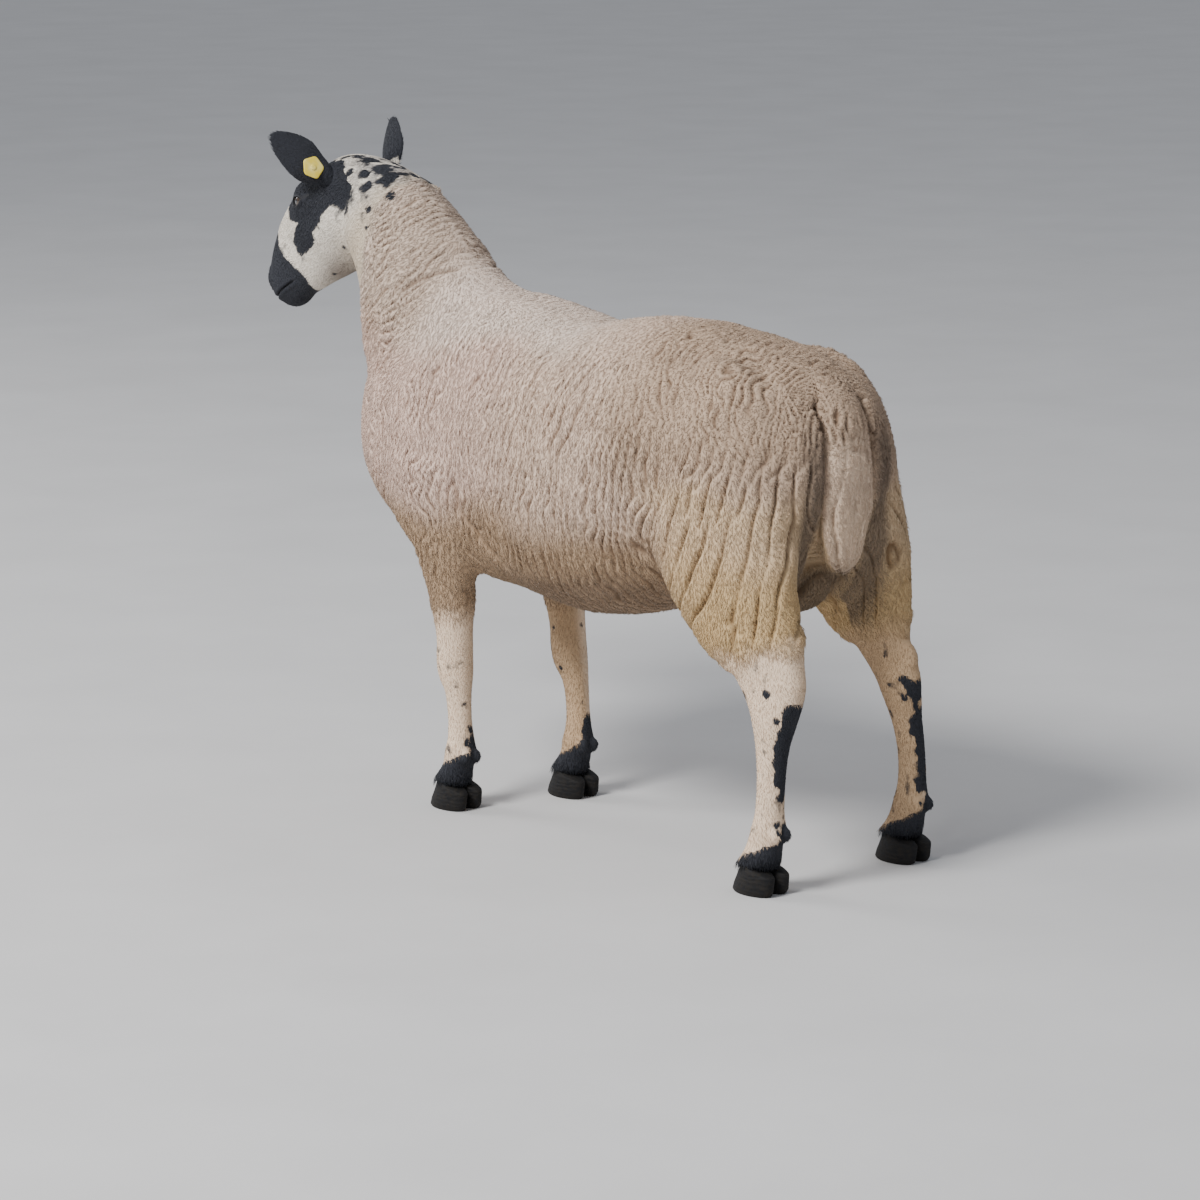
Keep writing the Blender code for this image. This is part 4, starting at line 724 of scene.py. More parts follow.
def leg_form(name, stations, kind, side, count, inset):
    rings = []
    for z, x, y, length, width in smooth_curve(stations, count):
        dx, dy = foot_shift(kind, side, z)
        extra = hock_growth(kind, side, z) - inset
        rings.append(ring((side * x + dx, y + dy, z), (1, 0, 0), (0, 1, 0), width + extra,
                          length + extra, length + extra, LEG_SQUARENESS, LEG_SIDES))
    return loft(name, rings)


def head_axes():
    """Unit vectors along the face, above it and to the sheep's left."""
    ahead = np.array((math.sin(HEAD_TURN), -math.cos(HEAD_TURN), 0.0))
    up = np.array((0.0, 0.0, 1.0))
    along = ahead * math.cos(FACE_SLOPE) - up * math.sin(FACE_SLOPE)
    above = ahead * math.sin(FACE_SLOPE) + up * math.cos(FACE_SLOPE)
    left = np.array((math.cos(HEAD_TURN), math.sin(HEAD_TURN), 0.0))
    return along, above, left


def head_point(along, above, side=0.0):
    a, u, l = head_axes()
    reach = along + max(0.0, along - FACE_STRETCH_FROM) * (FACE_STRETCH - 1.0)
    return CROWN + a * reach + u * above + l * side


def in_head_frame(points):
    """Points as distances along the face, above it and to the left, as the head's tables give them."""
    a, u, l = head_axes()
    away = points - CROWN
    along = away @ a
    shorter = FACE_STRETCH_FROM + (along - FACE_STRETCH_FROM) / FACE_STRETCH
    along = np.where(along > FACE_STRETCH_FROM, shorter, along)
    return np.stack([along, away @ u, away @ l], axis=-1)


def head_form():
    """The head as a loft from the throat to the nose, with its swellings and hollows."""
    flat = [(t[0], t[1], j[0], j[1], w, share, sq) for t, j, w, share, sq in HEAD_STATIONS]
    rings = []
    sections, sides = HEAD_GRID
    for *ends, width, share, squareness in smooth_curve(flat, sections):
        top, jaw = np.array(ends[:2]), np.array(ends[2:])
        depth = np.linalg.norm(top - jaw)
        axis = (top - jaw) / depth
        middle = top - axis * depth * share
        rings.append(ring((middle[0], middle[1], 0), (0, 0, 1), (axis[0], axis[1], 0), width,
                          depth * share, depth * (1 - share), squareness, sides))
    nose = rings[-1]
    for shrink, push in NOSE_CAPS:
        middle = nose.mean(axis=0)
        rings.append(middle + (nose - middle) * shrink + np.array((push, -0.2 * push, 0)))
    head = loft("head_form", rings)
    places = points_of(head.data)
    normals = normals_of(head.data)
    move = np.zeros(len(places))
    for _, (along, above, side), reach, height in HEAD_RELIEF:
        for sign in ((1, -1) if side else (1,)):
            away = np.linalg.norm(places - np.array((along, above, sign * side)), axis=1)
            move += height * np.exp(-((away / reach) ** 2) * 1.5)
    places = places + normals * (move - HAIR_INSET)[:, None]
    for vert, place in zip(head.data.vertices, places):
        vert.co = head_point(*place)
    bm = bmesh.new()
    bm.from_mesh(head.data)
    bmesh.ops.recalc_face_normals(bm, faces=bm.faces)
    bm.to_mesh(head.data)
    bm.free()
    return head


def tail_form(name, rows, wider=0.0, inner=0.0, outer=0.0):
    """The flat hanging tail, or a larger envelope of it."""
    rings = []
    for i, (y, z, width, thickness) in enumerate(rows):
        before, after = rows[max(i - 1, 0)], rows[min(i + 1, len(rows) - 1)]
        run = Vector((0, after[0] - before[0], after[1] - before[1])).normalized()
        back = Vector((1, 0, 0)).cross(run)
        if back.y < 0:
            back = -back
        rings.append(ring((0, y, z), (1, 0, 0), back, width + wider, thickness + outer,
                          thickness + inner, TAIL_SQUARENESS, TAIL_GRID[1]))
    return loft(name, rings)


def mirrored_mass(name, spec, side):
    (x, y, z), radii = spec
    return ellipsoid(name, (side * x, y, z), radii)


def leg_extras(kind, side):
    """The dewclaws, and the point of the hock."""
    z, x, y, length, _ = LEG_STATIONS[kind][-4]
    dx, dy = foot_shift(kind, side, z)
    extras = []
    for sign in (1, -1):
        centre = (side * x + dx + sign * DEWCLAW_APART, y + dy + length * DEWCLAW_BACK, z - DEWCLAW_DROP)
        extras.append(ellipsoid("dewclaw", centre, DEWCLAW_RADII))
    if kind == "hind":
        x, y, z = HOCK_POINT
        dx, dy = foot_shift(kind, side, z)
        extras.append(ellipsoid("point_of_hock", (side * x + dx, y + dy, z), HOCK_RADII))
    return extras


def body_skin():
    """The whole body but the ears, as one closed skin, with grooves beside the tail."""
    forms = [torso_form(), neck_form(COAT_INSET), mirrored_mass("groin", GROIN_MASS, 1)]
    for side in (1, -1):
        for name, spec in (("shoulder", SHOULDER_MASS), ("thigh", THIGH_MASS), ("buttock", BUTTOCK_MASS)):
            forms.append(mirrored_mass(name, spec, side))
        forms.append(leg_form("fore_wool", FORE_WOOL_STATIONS, "fore", side, FORE_WOOL_SECTIONS, LEG_INSET))
        forms.append(leg_form("hind_wool", HIND_WOOL_STATIONS, "hind", side, HIND_WOOL_SECTIONS, LEG_INSET))
    body = fused("body", forms, 2 * SKIN_VOXEL, BODY_SMOOTHING)
    rows = smooth_curve(TAIL_STATIONS, TAIL_GRID[0])
    inset = [(y, z, w - LEG_INSET, t - LEG_INSET) for y, z, w, t in rows]
    pocket = tail_form("tail_pocket", rows[TAIL_POCKET_STARTS:], TAIL_GROOVE, 0.0, TAIL_POCKET_DEPTH)
    combined(body, pocket, "DIFFERENCE")
    parts = [body, tail_form("tail", inset), head_form(), neck_form(BARE_NECK_INSET, BARE_NECK_STARTS)]
    for kind, side in LEGS:
        parts.append(leg_form("bare_leg", LEG_STATIONS[kind], kind, side, BARE_LEG_SECTIONS, HAIR_INSET))
        parts += leg_extras(kind, side)
    return fused("skin", parts, SKIN_VOXEL, SKIN_SMOOTHING)


def points_of(mesh):
    flat = np.empty(len(mesh.vertices) * 3, np.float32)
    mesh.vertices.foreach_get("co", flat)
    return flat.reshape(-1, 3).astype(float)


def normals_of(mesh):
    flat = np.empty(len(mesh.vertices) * 3, np.float32)
    mesh.vertex_normals.foreach_get("vector", flat)
    return flat.reshape(-1, 3).astype(float)


def set_points(mesh, points):
    mesh.vertices.foreach_set("co", np.asarray(points, np.float32).ravel())
    mesh.update()


def refined(obj, chosen, softening):
    """The faces whose corners are all chosen by place are split in four, and the points there eased."""
    bm = bmesh.new()
    bm.from_mesh(obj.data)
    inside = chosen(np.array([v.co for v in bm.verts]))
    edges = [e for e in bm.edges if inside[e.verts[0].index] and inside[e.verts[1].index]]
    bmesh.ops.subdivide_edges(bm, edges=edges, cuts=1, use_grid_fill=True)
    inside = chosen(np.array([v.co for v in bm.verts]))
    fresh = [v for v, near in zip(bm.verts, inside) if near]
    for _ in range(softening):
        bmesh.ops.smooth_vert(bm, verts=fresh, factor=0.5, use_axis_x=True, use_axis_y=True, use_axis_z=True)
    bm.to_mesh(obj.data)
    bm.free()


def before_fleece(points):
    return (points - FLEECE_POINT) @ FLEECE_NORMAL > 0.0


def round_the_eyes(points):
    near = np.zeros(len(points), bool)
    for side in (1, -1):
        middle = head_point(EYE_PLACE[0], EYE_PLACE[1], side * (EYE_PLACE[2] + EYE_SURROUND_OUT))
        near |= np.linalg.norm(points - middle, axis=1) < EYE_SURROUND
    return near


def features_of_face(points):
    """The eyes' surroundings and the muzzle."""
    muzzle = (in_head_frame(points)[:, 0] > MUZZLE_STARTS) & (points[:, 2] > HEAD_ABOVE)
    return round_the_eyes(points) | muzzle


def refine_head(skin):
    """Finer mesh on the head, and finer again round the eyes, the mouth and the nostrils."""
    refined(skin, before_fleece, 3)
    refined(skin, features_of_face, 1)
    refined(skin, round_the_eyes, 1)


def eye_axes(side):
    """The middle of an eye, the way it looks, and unit vectors along and across its opening."""
    along, above, left = head_axes()
    middle = head_point(EYE_PLACE[0], EYE_PLACE[1], side * EYE_PLACE[2])
    gaze = unit(along * GAZE_AHEAD + above * GAZE_UP + left * side)
    length = along * math.cos(EYE_TILT) - above * math.sin(EYE_TILT)
    length = unit(length - gaze * (length @ gaze))
    return middle, gaze, length, np.cross(gaze, length)


def add_lids(points, side):
    """Lids that bulge over the eyeball, with an almond opening that drops in behind it."""
    middle, gaze, length, across = eye_axes(side)
    away = points - middle
    x, y, z = away @ length, away @ across, away @ gaze
    upper = (y > 0) == (across[2] > 0)
    ball = EYE_RADIUS + LID_THICKNESS
    flat = x**2 + y**2
    dome = np.sqrt(np.clip(ball**2 - flat, 0, None))
    share = np.clip(1 - (x / (LID_LENGTH / 2)) ** 2, 0, 1)
    half_height = LID_HEIGHT / 2 * share**LID_ROUNDNESS
    gape = np.abs(y) / np.maximum(half_height, 1e-5)
    near = (flat < (ball * 1.5) ** 2) & (z > 0)
    lifted = np.where(near, np.maximum(z, dome), z)
    edge = np.abs(y) - half_height
    rim = np.exp(-((edge - LID_RIM) / LID_RIM) ** 2) * (share > 0.02)
    crease_away, crease_depth = (np.where(upper, *pair) for pair in zip(UPPER_CREASE, LOWER_CREASE))
    crease = np.exp(-((edge - crease_away) / LID_CREASE_WIDTH) ** 2) * smoothstep(0.0, 0.3, share)
    lifted += near * (LID_RIM_HEIGHT * rim - crease_depth * crease)
    inside = near & (np.abs(x) < LID_LENGTH / 2) & (gape < 1.0)
    pit = np.sqrt(np.clip((EYE_RADIUS - EYE_PIT) ** 2 - flat, 1e-6, None))
    lifted = np.where(inside, pit, lifted)
    lid_dark = near * np.exp(-(np.clip(edge, 0, None) / LID_DARK_REACH) ** 2)
    return points + gaze * (lifted - z)[:, None], np.clip(lid_dark, 0, 1)


def segment_distance(points, track):
    """Distance from each point to a line through the places of a track."""
    best = np.full(len(points), 1e9)
    for start, end in zip(track[:-1], track[1:]):
        start, run = np.array(start), np.array(end) - np.array(start)
        t = np.clip(((points - start) @ run) / (run @ run), 0, 1)
        best = np.minimum(best, np.linalg.norm(points - start - t[:, None] * run, axis=1))
    return best


def face_features(points):
    """How far the skin moves out for the mouth, lips, nostrils and folds, and where it is dark and wet."""
    along, above, side = in_head_frame(points).T
    ahead = MOUTH_CORNER[0] + MOUTH_BEHIND
    swing = np.arctan2(np.abs(side), along - ahead)
    share = swing / MOUTH_SWING
    level = MOUTH_CORNER[1] + (MOUTH_FRONT[1] - MOUTH_CORNER[1]) * np.cos(swing)
    level -= MOUTH_CURVE * np.sin(np.clip(share, 0, 1) * math.pi)
    gap = above - level
    head_only = (along > MOUTH_ONLY_AHEAD) * 1.0
    reach = smoothstep(1.08, 0.92, share) * head_only
    slit = np.exp(-((gap / SLIT_HALF_WIDTH) ** 2)) * reach
    lips = np.exp(-(((np.abs(gap) - LIP_FROM_SLIT) / LIP_HALF_WIDTH) ** 2)) * reach
    move = LIP_HEIGHT * lips - SLIT_DEPTH * slit
    both = np.stack([along, above, np.abs(side)], axis=1)
    hole = segment_distance(both, NOSTRIL)
    crease = segment_distance(both, WING_CREASE)
    pit = np.exp(-((hole / NOSTRIL_WIDTH) ** 2)) * head_only
    rim = np.exp(-(((hole - NOSTRIL_RIM_AWAY) / NOSTRIL_RIM_WIDTH) ** 2)) * head_only
    move += NOSTRIL_RIM_HEIGHT * rim - NOSTRIL_DEPTH * pit
    move -= WING_CREASE_DEPTH * np.exp(-((crease / WING_CREASE_WIDTH) ** 2)) * head_only
    cleft = np.exp(-((side / CLEFT_HALF_WIDTH) ** 2)) * smoothstep(*CLEFT_STARTS, along)
    cleft *= (above < CLEFT_TOP) * (gap > 0)
    move -= CLEFT_DEPTH * cleft
    wet = np.clip(slit + pit + 0.7 * cleft, 0, 1)
    return move, wet


def ear_frame(side):
    """The root of an ear, and unit vectors to its tip, across it, and out of its cup."""
    bearing, rise = EAR_AIM[side]
    tip = Vector((math.sin(bearing) * math.cos(rise), -math.cos(bearing) * math.cos(rise), math.sin(rise)))
    cup = EAR_HOLLOW[side]
    cup = (cup - tip * cup.dot(tip)).normalized()
    along, above, out = EAR_ROOT_PLACE[side]
    return Vector(head_point(along, above, side * out)), tip, tip.cross(cup), cup


def ear_form(side):
    """A leaf-shaped wall, curled at the root, open above and pointed at the tip."""
    root, tip, across, cup = ear_frame(side)
    along_count, across_count = EAR_GRID
    bm = bmesh.new()
    grid = []
    for i in range(along_count):
        v = i / (along_count - 1)
        if v < EAR_WIDEST:
            swell = math.sin(v / EAR_WIDEST * math.pi / 2)
            half_width = EAR_HALF_WIDTH * (EAR_ROOT_SHARE + (1 - EAR_ROOT_SHARE) * swell)
        else:
            past = (v - EAR_WIDEST) / (EAR_TIP_END - EAR_WIDEST)
            half_width = EAR_HALF_WIDTH * (1 - past**EAR_TIP_BOW) ** EAR_TIP_POINT
        start, fall = EAR_ROOT_CURL if v < 0.5 else EAR_TIP_CURL
        curl = math.radians(start - fall * v)
        radius = 2 * half_width / curl
        centre = root + tip * (EAR_LENGTH * v) + cup * (EAR_BEND * v * v)
        row = []
        for j in range(across_count):
            angle = (j / (across_count - 1) - 0.5) * curl
            depth = radius * (1 - math.cos(angle))
            row.append(bm.verts.new(centre + across * (radius * math.sin(angle)) + cup * depth))
        grid.append(row)
    for lower, upper in zip(grid[:-1], grid[1:]):
        for i in range(across_count - 1):
            bm.faces.new((lower[i], lower[i + 1], upper[i + 1], upper[i]))
    bmesh.ops.recalc_face_normals(bm, faces=bm.faces)
    ear = object_from_bmesh(f"ear_{SIDE_WORD[side]}_form", bm)
    wall = ear.modifiers.new("wall", "SOLIDIFY")
    wall.thickness = EAR_WALL
    wall.offset = 0.0
    return baked(ear)


def value_noise(points, size, seed):
    """Smooth noise from -1 to 1 at points, with features of about this size."""
    turn = np.array(((0.36, 0.48, -0.80), (-0.80, 0.60, 0.0), (0.48, 0.64, 0.60)))
    spots = points @ turn.T / size + 37.3 * seed
    cell = np.floor(spots).astype(np.int64)
    part = spots - cell
    part = part * part * (3 - 2 * part)
    total = np.zeros(len(points))
    for corner in range(8):
        bits = np.array((corner & 1, corner >> 1 & 1, corner >> 2 & 1))
        x, y, z = (cell + bits).T
        mixed = (x * 73856093) ^ (y * 19349663) ^ (z * 83492791) ^ (seed * 26544357)
        mixed = (mixed ^ (mixed >> 13)) * 1274126177 & 0x7FFFFFFF
        mixed = (mixed ^ (mixed >> 16)) & 0xFFFF
        weight = np.prod(np.where(bits, part, 1 - part), axis=1)
        total += weight * (mixed / 32767.5 - 1)
    return total


def lie_of_coat(points, normals):
    """The way the wool lies, as unit vectors: down the sides, round the neck and fanned on the thighs."""
    x, y, z = points.T
    down = np.tile((0.0, 0.10, -1.0), (len(points), 1))
    run = np.array((0, -0.72, 0.69))
    round_neck = np.cross(run, normals)
    round_neck = round_neck * np.where(round_neck[:, 2:] > 0, -1, 1)
    fan = unit(np.stack([0 * x, y - 0.13, z - 0.74], axis=1)) + np.array((0, 0.05, -0.30))
    neck = in_part(NECK_LIE, y, z)
    thigh = in_part(THIGH_LIE, y, z)
    lie = down * (1 - neck - thigh)[:, None]
    lie = lie + unit(round_neck + 0.25 * down) * neck[:, None] + unit(fan) * thigh[:, None]
    back = smoothstep(0.05, 0.005, np.linalg.norm(np.stack([x, 0.6 * (0.72 - z)], 1), axis=1))
    lie = lie + np.array((0.0, 0.9, 0.0)) * back[:, None]
    for axis in range(3):
        lie[:, axis] += 0.28 * value_noise(points, 0.055, 20 + axis)
    lie -= normals * (lie * normals).sum(axis=1, keepdims=True)
    return unit(lie)


def lie_of_hair(points, normals):
    """Short hair lies back from the nose on the head, to the tips on the ears, and down the legs."""
    along = head_axes()[0]
    down = np.array((0.0, 0.15, -1.0))
    on_head = smoothstep(0.55, 0.62, points[:, 2])[:, None]
    lie = down * (1 - on_head) + (-along + 0.25 * down) * on_head
    for side in (1, -1):
        root, tip, _, _ = ear_frame(side)
        on_ear = smoothstep(*EAR_LIE_FROM, (points - np.array(root)) @ np.array(tip))[:, None]
        from_middle = np.linalg.norm(points - np.array(root + tip * EAR_MIDDLE), axis=1)
        on_ear *= (from_middle < EAR_LIE_REACH)[:, None]
        lie = lie * (1 - on_ear) + np.array(tip) * on_ear
    lie = lie + 0.35 * np.stack([value_noise(points, 0.02, 30 + i) for i in range(3)], axis=1)
    lie -= normals * (lie * normals).sum(axis=1, keepdims=True)
    return unit(lie)


def fleece_share(points):
    """1 where fleece grows, 0 on the short-haired head and legs, blended at the edges."""
    ragged = 0.010 * value_noise(points, 0.018, 3)
    behind = (FLEECE_POINT - points) @ FLEECE_NORMAL + ragged
    share = smoothstep(0.0, FLEECE_EDGE, behind)
    fore = points[:, 1] < FORE_HALF
    low, high = FLEECE_END["fore"]
    front_legs = smoothstep(low, high, points[:, 2] + ragged)
    low, high = FLEECE_END["hind"]
    rear_legs = smoothstep(low, high, points[:, 2] + ragged + 0.25 * np.clip(0.30 - points[:, 1], -0.1, 0.1))
    return share * np.where(fore, front_legs, rear_legs)


def curliness(points):
    """1 on the rump, hips and tail top, where the fleece is in small curls, 0 where it is in long ridges."""
    _, y, z = points.T
    rump = in_part(RUMP_CURLED, y, z + 0.15 * np.clip(y - 0.1, 0, 1))
    back = 0.55 * in_part(BACK_CURLED, y, z)
    return np.clip(np.maximum(rump, back), 0, 1)


def evenness(points):
    """Where the fleece is smoother: over the back, on the chest, under the belly and at the tail's end."""
    x, y, z = points.T
    back = in_part(BACK_EVEN, y, z) * smoothstep(-0.45, -0.36, y)
    chest = in_part(CHEST_EVEN, y, z)
    tail = smoothstep(0.52, 0.46, z) * smoothstep(0.055, 0.045, np.abs(x)) * (y > 0.28)
    belly = smoothstep(0.36, 0.32, z)
    return np.clip(0.45 * (back + chest + belly) + 0.30 * tail, 0, 0.45)


def waves(points, across, spacing, sway, jitter, seed, sharpness):
    """Grooves counted along a measure of the points. They wander, and fork where two sets meet."""
    wander = sway * value_noise(points, 3.6 * spacing, seed)
    wander = wander + jitter * value_noise(points, 1.5 * spacing, seed + 1)
    count = across / spacing + wander
    first, second = np.sin(math.pi * count), np.sin(math.pi * (1.16 * count + 0.4))
    share = smoothstep(-0.12, 0.12, value_noise(points, 3.0 * spacing, seed + 2))
    return (1 - share) * np.exp(-((first / sharpness) ** 2)) + share * np.exp(-((second / sharpness) ** 2))


def grooves(points):
    """The fleece's grooves: how far each point is into one, from 0 to 1, and the height of the ridges."""
    x, y, z = points.T
    round_rear = y + (REAR_HALF_WIDTH - np.abs(x)) * smoothstep(*REAR_TURN, y)
    lean = THIGH_LEAN - THIGH_LEAN_LOST * smoothstep(*THIGH_LEAN_RUN, y)
    on_neck = in_part(NECK_RIDGED, y, z)
    on_thigh = in_part(THIGH_RIDGED, y, z + 0.25 * (0.30 - y))
    on_rump = curliness(points) * (1 - on_thigh)
    on_shoulder = smoothstep(-0.13, -0.25, y) * (1 - on_neck)
    on_ribs = np.clip(1 - on_neck - on_thigh - on_rump - on_shoulder, 0, 1)
    kinds = (
        (on_ribs, y - 0.22 * z, RIB_RIDGES),
        (on_thigh, round_rear - lean * (z - 0.5), THIGH_RIDGES),
        (on_neck, 0.69 * z - 0.72 * y + 0.16 * np.abs(x), NECK_RIDGES),
        (on_rump, round_rear + 0.30 * z, RUMP_CURLS),
        (on_shoulder, y - 0.15 * z, SHOULDER_CURLS),
    )
    groove, height, whole = (np.zeros(len(points)) for _ in range(3))
    for number, (share, across, (spacing, sway, jitter, sharpness, ridge)) in enumerate(kinds):
        groove += share * waves(points, across, spacing, sway, jitter, 50 + 10 * number, sharpness)
        height += share * ridge
        whole += share
    broken = np.clip(0.85 + 0.75 * value_noise(points * np.array((1.0, 1.0, 0.5)), 0.026, 90), 0.12, 1.0)
    return groove / whole * broken * (1 - evenness(points)), height / whole


def polygon_distance(points, outline):
    """Signed distance of flat points to a closed outline, positive inside."""
    outline = np.array(outline, float)
    best = np.full(len(points), 1e9)
    inside = np.zeros(len(points), bool)
    for start, end in zip(outline, np.roll(outline, -1, axis=0)):
        run = end - start
        t = np.clip(((points - start) @ run) / (run @ run), 0, 1)
        best = np.minimum(best, np.linalg.norm(points - start - t[:, None] * run, axis=1))
        crosses = (start[1] > points[:, 1]) != (end[1] > points[:, 1])
        at = start[0] + (points[:, 1] - start[1]) * run[0] / (run[1] if run[1] else 1e-9)
        inside ^= crosses & (points[:, 0] < at)
    return np.where(inside, best, -best)


def leg_markings(points):
    """Signed distance in metres to the black of the legs, positive inside."""
    best = np.full(len(points), -1.0)
    z = points[:, 2]
    ragged = value_noise(points, 0.016, 14) + 0.5 * value_noise(points, 0.007, 15)
    for kind, side in LEGS:
        rows = smooth_curve(LEG_STATIONS[kind], BARE_LEG_SECTIONS)[::-1]
        x, y, length = (np.interp(z, rows[:, 0], rows[:, i]) for i in (1, 2, 3))
        dx, dy = foot_shift(kind, side, z)
        away_x = points[:, 0] - side * x - dx
        away_y = points[:, 1] - y - dy
        near = np.hypot(away_x, away_y) < LEG_REACH * length
        behind = (away_y * math.cos(STRIPE_TURN) - away_x * math.sin(STRIPE_TURN)) / length
        foot_top, stripe_low, stripe_top, share, thin_share = LEG_BLACK[kind, side]
        foot = foot_top + FOOT_EDGE_RISE * behind + FOOT_EDGE_RAGGED * ragged - z
        edge = share + (thin_share - share) * smoothstep(stripe_low + 0.02, stripe_low - 0.02, z)
        stripe_side = (behind - edge + STRIPE_SIDE_RAGGED * ragged) * length
        stripe = np.minimum(stripe_side, stripe_top + STRIPE_TOP_RAGGED * ragged - z)
        best = np.maximum(best, np.where(near & (z < LEG_BLACK_BELOW), np.maximum(foot, stripe), -1.0))
    return best


def toward_photo():
    """Unit vector from the middle of the view to the photo's camera."""
    azimuth, elevation = math.radians(CAMERA_AZIMUTH), math.radians(CAMERA_ELEVATION)
    return Vector((math.sin(azimuth) * math.cos(elevation), -math.cos(azimuth) * math.cos(elevation),
                   math.sin(elevation)))


def seen_at(tree, pixels):
    """Places on the skin that the photo's camera sees at these pixels, or None where it misses the skin."""
    back = toward_photo()
    right = Vector((0, 0, 1)).cross(back).normalized()
    up = back.cross(right)
    eye = Vector(CAMERA_TARGET) + back * CAMERA_DISTANCE - Vector(SHIFT)
    half = CAMERA_SENSOR / (2 * CAMERA_LENS)
    places = []
    for column, row in pixels:
        across, above = 2 * column / PHOTO_SIZE - 1, 1 - 2 * row / PHOTO_SIZE
        place = tree.ray_cast(eye, (half * (across * right + above * up) - back).normalized())[0]
        places.append(place)
    return places


def flat_face(points):
    """Millimetres along the face and round the head from its top line."""
    along, above, side = (in_head_frame(points) * 1000).T
    return np.stack([along, np.arctan2(side, above + ROUND_HEAD_LEVEL) * ROUND_HEAD_RADIUS], axis=1)


def seen_markings(skin):
    """The eye's patch, the muzzle's edge and the spots, worked out from where the photo shows them."""
    faces = [tuple(f.vertices) for f in skin.data.polygons]
    tree = BVHTree.FromPolygons(points_of(skin.data).tolist(), faces)
    outline, edge = (flat_face(np.array([place for place in seen_at(tree, pixels) if place]))
                     for pixels in (EYE_PATCH_IN_PHOTO, MUZZLE_EDGE_IN_PHOTO))
    patch = np.concatenate([outline, np.array(EYE_PATCH_FAR_EDGE)])
    near = np.concatenate([edge, [MUZZLE_UNDER]])
    muzzle = np.concatenate([near, [MUZZLE_TOP], near * (1, -1)])
    places = seen_at(tree, [pixel for pixel, _ in SPOTS_IN_PHOTO])
    spots = [(place, radius) for place, (_, radius) in zip(places, SPOTS_IN_PHOTO) if place]
    return patch, muzzle[np.argsort(muzzle[:, 1])], spots + list(FAR_SPOTS)


def black_markings(points, markings):
    """Signed distance in metres to the black of the face, ears, crown and legs, positive inside."""
    patch, line, spots = markings
    flat = flat_face(points)
    along, around = flat.T
    dark = polygon_distance(flat, patch)
    other = np.stack([along, -around], axis=1) + FAR_PATCH_SHIFT
    dark = np.maximum(dark, polygon_distance(other, patch))
    muzzle = along - np.interp(around, line[:, 1], line[:, 0])
    dark = np.maximum(dark, muzzle)
    bridge = BRIDGE_HALF_WIDTH - segment_distance(flat, BRIDGE_LINE)
    dark = np.maximum(dark, bridge) / 1000
    dark = np.where(points[:, 2] > HEAD_ABOVE, dark, -1.0)
    dark = np.where((points - FLEECE_POINT) @ FLEECE_NORMAL > -0.01, dark, -1.0)
    for place, radius in spots:
        dark = np.maximum(dark, radius - np.linalg.norm(points - np.array(place), axis=1))
    dark = np.maximum(dark, leg_markings(points))
    for sign in (1, -1):
        root, tip, _, _ = ear_frame(sign)
        up_ear = (points - np.array(root)) @ np.array(tip)
        close = np.linalg.norm(points - np.array(root + tip * (EAR_LENGTH / 2)), axis=1) < EAR_REACH
        dark = np.where(close, np.maximum(dark, np.minimum(up_ear - EAR_BLACK_FROM, 0.02)), dark)
    for height, size, seed in RAGGED_EDGE:
        dark += height * value_noise(points, size, seed)
    flecks = value_noise(points, 0.011, 13) - 0.80
    on_legs = smoothstep(0.30, 0.26, points[:, 2])
    crown = np.exp(-((np.linalg.norm(points - np.array(MOTTLED_CROWN), axis=1) / MOTTLED_REACH) ** 2))
    sprinkle = flecks + 0.10 * on_legs + 0.80 * crown - 0.6 * fleece_share(points) * (crown < 0.3)
    return np.maximum(dark, 0.004 * sprinkle)


def blend(first, second, share):
    return first * (1 - share[:, None]) + second * share[:, None]


def washed(base, washes):
    """The base colour with washes of other colours laid over it in turn, each by its share."""
    colours = np.array(base)
    for colour, share in washes:
        colours = blend(colours, np.array(colour), share)
    return colours


